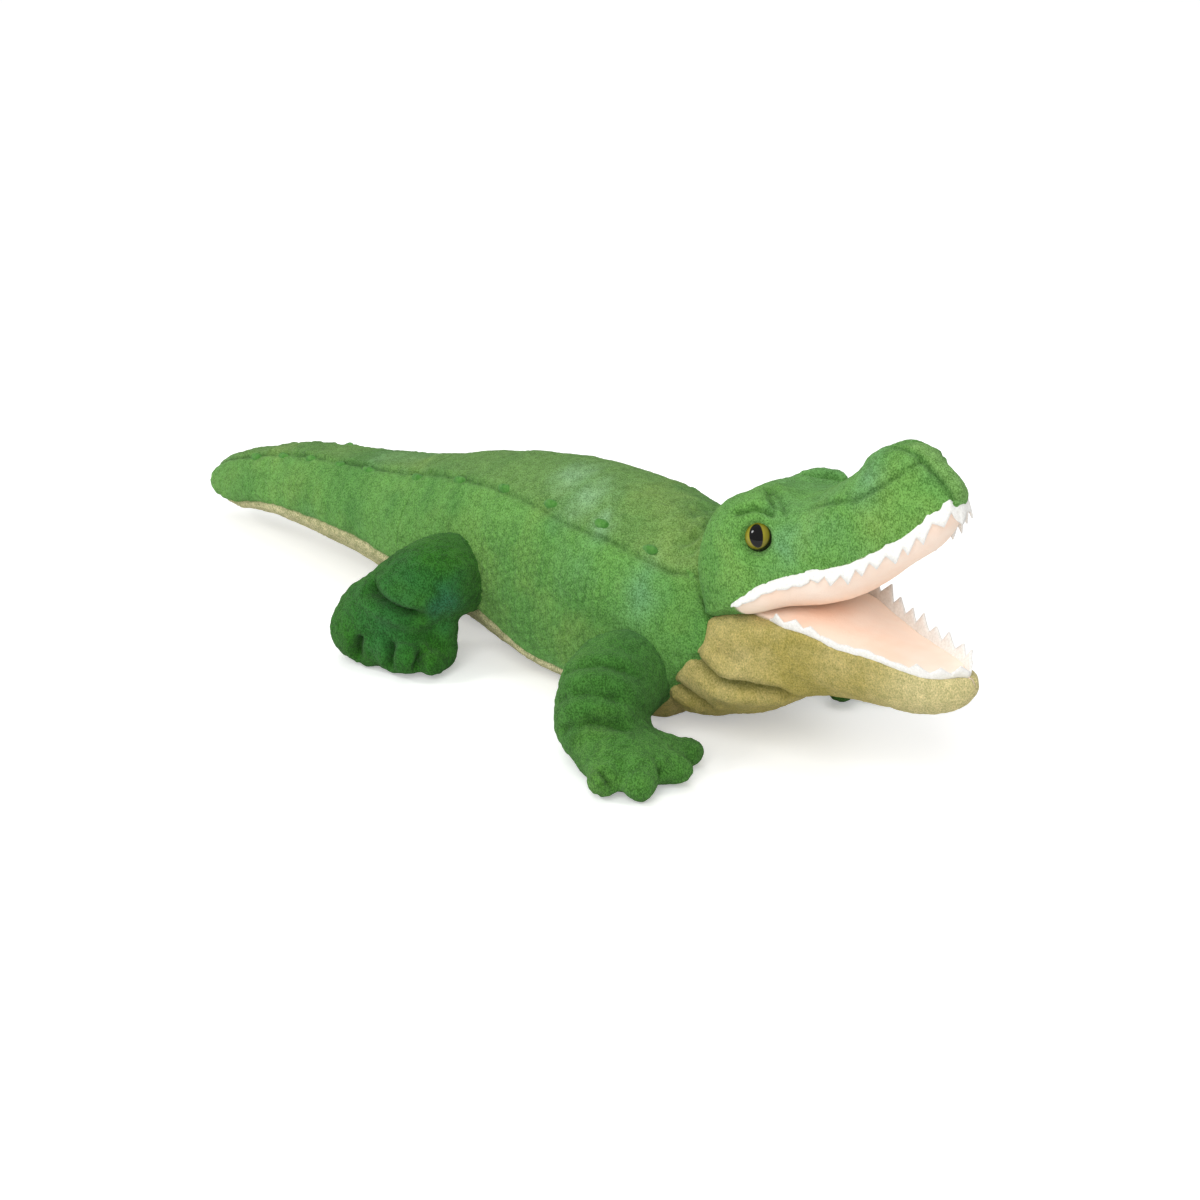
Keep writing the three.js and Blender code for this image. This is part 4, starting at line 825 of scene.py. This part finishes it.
def fibre_material(name, dyes, grain, relief, depth, roughness, sheen, gloss):
    """Short fibres in two shades."""
    n = Nodes(name)
    base = n.mix(n.ramp(n.noise(grain, 4.0, 0.7), 0.35, 0.65), *map(colour, dyes))
    return n.finish(Base_Color=base, Roughness=roughness, Sheen_Weight=sheen,
                    Specular_IOR_Level=gloss, Normal=n.bump(n.noise(*relief), *depth))


# Eye. The pupil's lean is a cosine and a sine
PUPIL_BACK, PUPIL_HALF, PUPIL_LEAN = 0.5, (3.0, 5.0), (0.94, 0.34)
IRIS_SHADE, RIM_EDGE, PUPIL_EDGE = (2.0, 5.2), (5.35, 5.75), (1.06, 0.96)


def eye_material():
    """Amber iris, dark slit pupil and rim."""
    n = Nodes("eye_plastic")
    u, v = n.value("across"), n.value("up")
    ring = n.length(u, v)
    back = n.math("ADD", u, -PUPIL_BACK)
    cosine, sine = PUPIL_LEAN
    lean = n.math("ADD", n.times(back, cosine), n.times(v, sine))
    tall = n.math("ADD", n.times(back, -sine), n.times(v, cosine))
    slit = n.length(n.math("DIVIDE", lean, PUPIL_HALF[0]), n.math("DIVIDE", tall, PUPIL_HALF[1]))
    iris = n.mix(n.ramp(ring, *IRIS_SHADE), colour("a0982a"), colour("746d18"))
    iris = n.mix(n.ramp(slit, *PUPIL_EDGE), iris, colour("050505"))
    iris = n.mix(n.ramp(ring, *RIM_EDGE), iris, colour("1b1a10"))
    return n.finish(Base_Color=iris, Roughness=0.04, Specular_IOR_Level=0.35)


def washer_material():
    """Pale plastic of the washers behind the eyes."""
    n = Nodes("washer_plastic")
    base = n.mix(n.noise(300.0, 2.0, 0.5), colour("e4e4e0"), colour("ffffff"))
    return n.finish(Base_Color=n.mix(0.9, base, colour("e4e4e0")), Roughness=0.5)


def give(obj, material):
    """The object with this material alone."""
    obj.data.materials.clear()
    obj.data.materials.append(material)
    return obj


plush, eye_plastic, washer_plastic = plush_material(), eye_material(), washer_material()
felt = fibre_material("felt", ("e6e4de", "f7f6f2"), 900.0, (900.0, 4.0, 0.7), (0.4, 0.0005),
                      0.9, 0.25, 0.15)
# The tufts' greens, darker than the body's, are painted shade on cloth of nearly the body's colour
nub_plush = fibre_material("nub_plush", ("3d792d", "61984a"), 380.0, (620.0, 4.0, 0.75),
                           (0.6, 0.001), 0.95, 0.1, 0.1)


# Pieces

PANELS = ("fill", "back_panel", "side_panel_left", "side_panel_right", "belly_panel")
torso = give(trunk_piece("torso_cloth", TAIL_ROOT, TORSO_FRONT, True, 11), plush)
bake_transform(torso)
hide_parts(*[f"torso_{panel}" for panel in PANELS])

tail = give(trunk_piece("tail_cloth", TAIL_TIP, TAIL_ROOT, False, 11), plush)
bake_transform(tail)
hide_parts(*[f"tail_{panel}" for panel in PANELS])

head = give(head_piece("head_cloth", 31), plush)
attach(head, "head")
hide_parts("head_fill", "head_top_panel", "head_side_panel_right", "head_side_panel_left",
            "palate_lining", "neck_panel", "brow_right", "brow_left")

jaw = give(jaw_piece("jaw_cloth", 41), plush)
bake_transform(jaw)
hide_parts("jaw_fill", "jaw_panel", "mouth_floor_lining", "throat_panel", "throat_fold")

for place, leg in LEGS.items():
    for hand_name, hand in HANDS.items():
        piece = give(leg_piece(f"leg_{place}_{hand_name}_cloth", leg, hand), plush)
        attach(piece, f"leg_{place}_{hand_name}")
        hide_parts(f"leg_{place}_{hand_name}_cover", f"leg_{place}_{hand_name}_fill")


# Tufts: half length, half width, height and how deep they sit
NUB_HALF_LENGTH, NUB_HALF_WIDTH, NUB_HEIGHT, NUB_DEPTH = 5.0, 2.8, 5.2, 3.0


def nub_grid(hand, x, seed):
    """Points of a small tuft of plush in the back seam, coloured darker as painted shade."""
    turn = np.array(hand * math.radians(float(back_seam(x)) * 0.45 + 20))
    base = section(np.array(float(x)), turn, trunk_shape, CROWN_POWER, 2.0)
    up = np.array([0, math.sin(float(turn)), math.cos(float(turn))])
    along = np.array([1, 0, 0])
    across = np.cross(along, up)
    points, rows, columns = [], 9, 14
    for i in range(rows):
        angle = math.pi / 2 * (0.25 + 0.75 * i / (rows - 1))
        ring = math.cos(angle)
        for j in range(columns):
            swing = 2 * math.pi * j / columns
            points.append(base + along * NUB_HALF_LENGTH * ring * math.cos(swing)
                          + across * NUB_HALF_WIDTH * ring * math.sin(swing)
                          + up * (NUB_HEIGHT * math.sin(angle) - NUB_DEPTH))
    grid = np.array(points).reshape(rows, columns, 3)
    uneven = 0.8 * noise(grid.reshape(-1, 3), 2.0, seed)
    return grid + uneven.reshape(rows, columns, 1) * up


def nubs(name, count, seed):
    """The tufts of the torso or the tail, each where its CAD node is."""
    parts, faces, start = [], [], 0
    for hand_name, hand in HANDS.items():
        for index in range(1, count + 1):
            low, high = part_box(f"{name}_nub_{hand_name}_{index}")
            points, tube = closed_tube(nub_grid(hand, (low.x + high.x) / 2 / MM, seed + index))
            parts.append(points)
            faces += [tuple(start + k for k in face) for face in tube]
            start += len(points)
    obj = give(make_object(f"{name}_nubs", np.concatenate(parts), faces), nub_plush)
    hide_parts(*[f"{name}_nub_{hand}_{i}" for hand in HANDS for i in range(1, count + 1)])
    return obj


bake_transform(nubs("torso", 6, 71))
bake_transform(nubs("tail", 5, 81))


def lip_path(shape, lip, start, end, upper, lower, field=None):
    """Places round a lip from right to left, moved out of the field if given."""
    xs = start + (end - start) * (1 - (1 - np.linspace(0, 1, 200)) ** 2)
    right = section(xs, -np.radians(lip(xs)), shape, upper, lower)
    for _ in range(4 if field else 0):
        right[:, 1] -= np.maximum(-field(*right.T), 0)
    left = right * (1, -1, 1)
    return np.concatenate([right, left[::-1][1:]])


# Felt teeth, with shares for their skew and spread
TOOTH_WIDTHS, TOOTH_SKEWS, TOOTH_SPREAD, SMALL_TOOTH = (7.4, 9.4), (0.42, 0.72), (0.85, 1.15), 4.2
STRIP_STEP, STRIP_ROOT, MOUTH_MIDDLE = 0.36, -2.4, (190, 0, 0)


def teeth_piece(name, path, down, heights, seed):
    """A felt strip round a lip, cut into teeth whose heights follow a table."""
    lengths = np.concatenate([[0], np.cumsum(np.linalg.norm(np.diff(path, axis=0), axis=1))])
    total = lengths[-1]
    rng = np.random.default_rng(seed)
    edges = [0.0]
    while edges[-1] < total:
        edges.append(edges[-1] + rng.uniform(*TOOTH_WIDTHS))
    edges = np.array(edges) * total / edges[-1]
    talls = (np.interp(edges[:-1] / total, *zip(*heights))
             * rng.uniform(*TOOTH_SPREAD, len(edges) - 1))
    skews = rng.uniform(*TOOTH_SKEWS, len(edges) - 1)
    s = np.arange(0, total, density(STRIP_STEP))
    index = np.clip(np.searchsorted(edges, s, side="right") - 1, 0, len(talls) - 1)
    share = (s - edges[index]) / (edges[index + 1] - edges[index])
    rise = np.minimum(share / skews[index], (1 - share) / (1 - skews[index]))
    valley = talls[index] * np.where(talls[index] < SMALL_TOOTH, 0.75, 0.38)
    tall = valley + (talls[index] - valley) * rise ** 1.1
    tall *= smoothstep(0, 6, s) * smoothstep(total, total - 6, s) * 0.8 + 0.2
    place = np.stack([np.interp(s, lengths, path[:, k]) for k in range(3)], 1)
    reach = int(3 / density(STRIP_STEP))
    along = np.roll(place, -reach, 0) - np.roll(place, reach, 0)
    along[:reach], along[-reach:] = along[reach], along[-reach - 1]
    along /= np.linalg.norm(along, axis=1, keepdims=True)
    upright = np.array([0, 0, -1.0 if down else 1.0])
    out = np.cross(along, upright)
    out *= np.sign((out * (place - MOUTH_MIDDLE) * (1, 1, 0)).sum(1, keepdims=True))
    lean = upright * 0.92 + out * (0.3 + 0.12 * noise(place, 9, seed))[:, None]
    lean /= np.linalg.norm(lean, axis=1, keepdims=True)
    face = np.cross(along, lean)
    levels = [(STRIP_ROOT + 0 * s, 0.55), (0 * s, 0.65), (tall * 0.55, 0.6), (tall, 0.32)]
    rows = [place + lean * lift[:, None] + face * thick for lift, thick in levels]
    rows += [place + lean * lift[:, None] - face * thick for lift, thick in reversed(levels)]
    return give(tube_object(name, np.stack(rows, 1), {}), felt)


# Heights of the teeth from the right corner of the mouth to the left one
UPPER_TEETH = [(0, 3), (0.1, 3.4), (0.17, 4.6), (0.21, 7.2), (0.4, 8.6), (0.5, 7.5), (0.6, 8.2),
    (0.79, 7.2), (0.83, 4.6), (0.9, 3.4), (1, 3)]
LOWER_TEETH = [(0, 5.5), (0.06, 6.5), (0.12, 5.4), (0.15, 3.2), (0.32, 3), (0.36, 6.2), (0.5, 6.2),
    (0.6, 8), (0.9, 8.4), (1, 6)]
# Ends of each strip along the toy
UPPER_STRIP, LOWER_STRIP = (154.5, 244.2), (166, 251.8)

upper_path = lip_path(head_shape, upper_lip, *UPPER_STRIP, SNOUT_POWER, ROOF_POWER, head_field)
upper = teeth_piece("upper_tooth_strip", upper_path, True, UPPER_TEETH, 5)
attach(upper, "head")
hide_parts("upper_teeth")

lower_path = lip_path(jaw_shape, lower_lip, *LOWER_STRIP, FLOOR_POWER, THROAT_POWER)
lower = teeth_piece("lower_tooth_strip", lower_path, False, LOWER_TEETH, 7)
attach(lower, "jaw")
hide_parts("lower_teeth")


EYE_PLACE, EYE_AXIS = (161.9, 29.9, 107.0), (0.25, 0.86, 0.44)
# Outline of the eye from its edge to the dome: radius and height
EYE_RIM = [(6.0, -3.0), (6.3, 0.2), (6.25, 0.7), (5.9, 1.1)]
EYE_DOME = [(5.9 * math.cos(t), 1.1 + 4.2 * math.sin(t)) for t in np.linspace(0.08, 1.5, 18)]


def eye_piece(hand_name, hand):
    """Domed plastic eye with a thin rim, on the place of the CAD one."""
    outer, axis = np.array(EYE_PLACE) * (1, hand, 1), np.array(EYE_AXIS) * (1, hand, 1)
    axis = axis / np.linalg.norm(axis)
    side = np.cross(np.array([0, 0, 1.0]), axis)
    side = side / np.linalg.norm(side) * -hand
    up = np.cross(axis, side)
    up = up * np.sign(up[2])
    grid = np.array([[outer + side * r * math.cos(s) + up * r * math.sin(s) + axis * h
                      for s in np.linspace(0, 2 * math.pi, 48, endpoint=False)]
                     for r, h in EYE_RIM + EYE_DOME])
    values = {"across": (grid - outer) @ side, "up": (grid - outer) @ up}
    obj = give(tube_object(f"eye_{hand_name}_dome", grid, values), eye_plastic)
    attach(obj, "head")
    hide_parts(f"eye_{hand_name}")
    give(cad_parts[f"eye_washer_{hand_name}"], washer_plastic)


for hand_name, hand in HANDS.items():
    eye_piece(hand_name, hand)


# Floor, light and camera

FLOOR_HALF, FLOOR_GREY, FLOOR_GLOW = 6000, 0.86, 0.36


def floor_material():
    """White floor that keeps the shadows."""
    n = Nodes("floor_white")
    grey, warm = FLOOR_GREY, FLOOR_GREY * 0.995
    base = n.mix(n.noise(2.0, 1.0, 0.5), (grey, grey, grey, 1), (warm, warm, grey, 1))
    glow = n.times(n.add("LightPath").outputs["Is Camera Ray"], FLOOR_GLOW)
    return n.finish(Base_Color=base, Roughness=1.0, Specular_IOR_Level=0.0,
                    Emission_Color=(1, 1, 1, 1), Emission_Strength=glow)


corners = np.array([(-1, -1, 0), (1, -1, 0), (1, 1, 0), (-1, 1, 0)]) * FLOOR_HALF
floor = make_object("floor", corners, [(0, 1, 2, 3)], smooth=False)
give(floor, floor_material())


def area(name, place, target, size, power, glossy=True):
    """A round lamp that faces a target."""
    light = bpy.data.lights.new(name, "AREA")
    light.shape = "DISK"
    light.size = size
    light.energy = power
    obj = bpy.data.objects.new(name, light)
    bpy.context.scene.collection.objects.link(obj)
    obj.location = place
    obj.rotation_euler = (Vector(target) - Vector(place)).to_track_quat("-Z", "Y").to_euler()
    obj.visible_glossy = glossy


# Only the small lamp glints in the eyes
area("key", (1.1, -1.5, 1.5), (0.03, 0, 0.05), 1.5, 28, glossy=False)
area("top", (-0.2, 0.3, 2.2), (0, 0, 0), 2.2, 15, glossy=False)
area("fill", (-1.0, -1.44, 1.34), (0, 0, 0.05), 0.5, 10)

WORLD_LIGHT, WORLD_SEEN = 0.5, 1.0
world = bpy.data.worlds.new("studio")
bpy.context.scene.world = world
world.use_nodes = True
tree = world.node_tree
tree.nodes.clear()
output, choose, path = (tree.nodes.new(kind) for kind in (
    "ShaderNodeOutputWorld", "ShaderNodeMixShader", "ShaderNodeLightPath"))
tree.links.new(path.outputs["Is Camera Ray"], choose.inputs[0])
for socket, strength in ((1, WORLD_LIGHT), (2, WORLD_SEEN)):
    background = tree.nodes.new("ShaderNodeBackground")
    background.inputs[0].default_value = (1, 1, 1, 1)
    background.inputs[1].default_value = strength
    tree.links.new(background.outputs[0], choose.inputs[socket])
tree.links.new(choose.outputs[0], output.inputs[0])

# The photo's camera
AZIMUTH, ELEVATION, DISTANCE = math.radians(46), math.radians(22), 1.35
TARGET = (0.056, -0.020, 0.045)
camera = bpy.data.objects.new("camera", bpy.data.cameras.new("camera"))
bpy.context.scene.collection.objects.link(camera)
bpy.context.scene.camera = camera
camera.data.lens = 90
camera.data.sensor_width = 36
back = Vector((math.sin(AZIMUTH) * math.cos(ELEVATION), -math.cos(AZIMUTH) * math.cos(ELEVATION),
               math.sin(ELEVATION)))
camera.location = Vector(TARGET) + back * DISTANCE
camera.rotation_euler = (-back).to_track_quat("-Z", "Y").to_euler()
camera.data.clip_start, camera.data.clip_end = 0.01, 30
bpy.context.scene.view_settings.view_transform = "Standard"
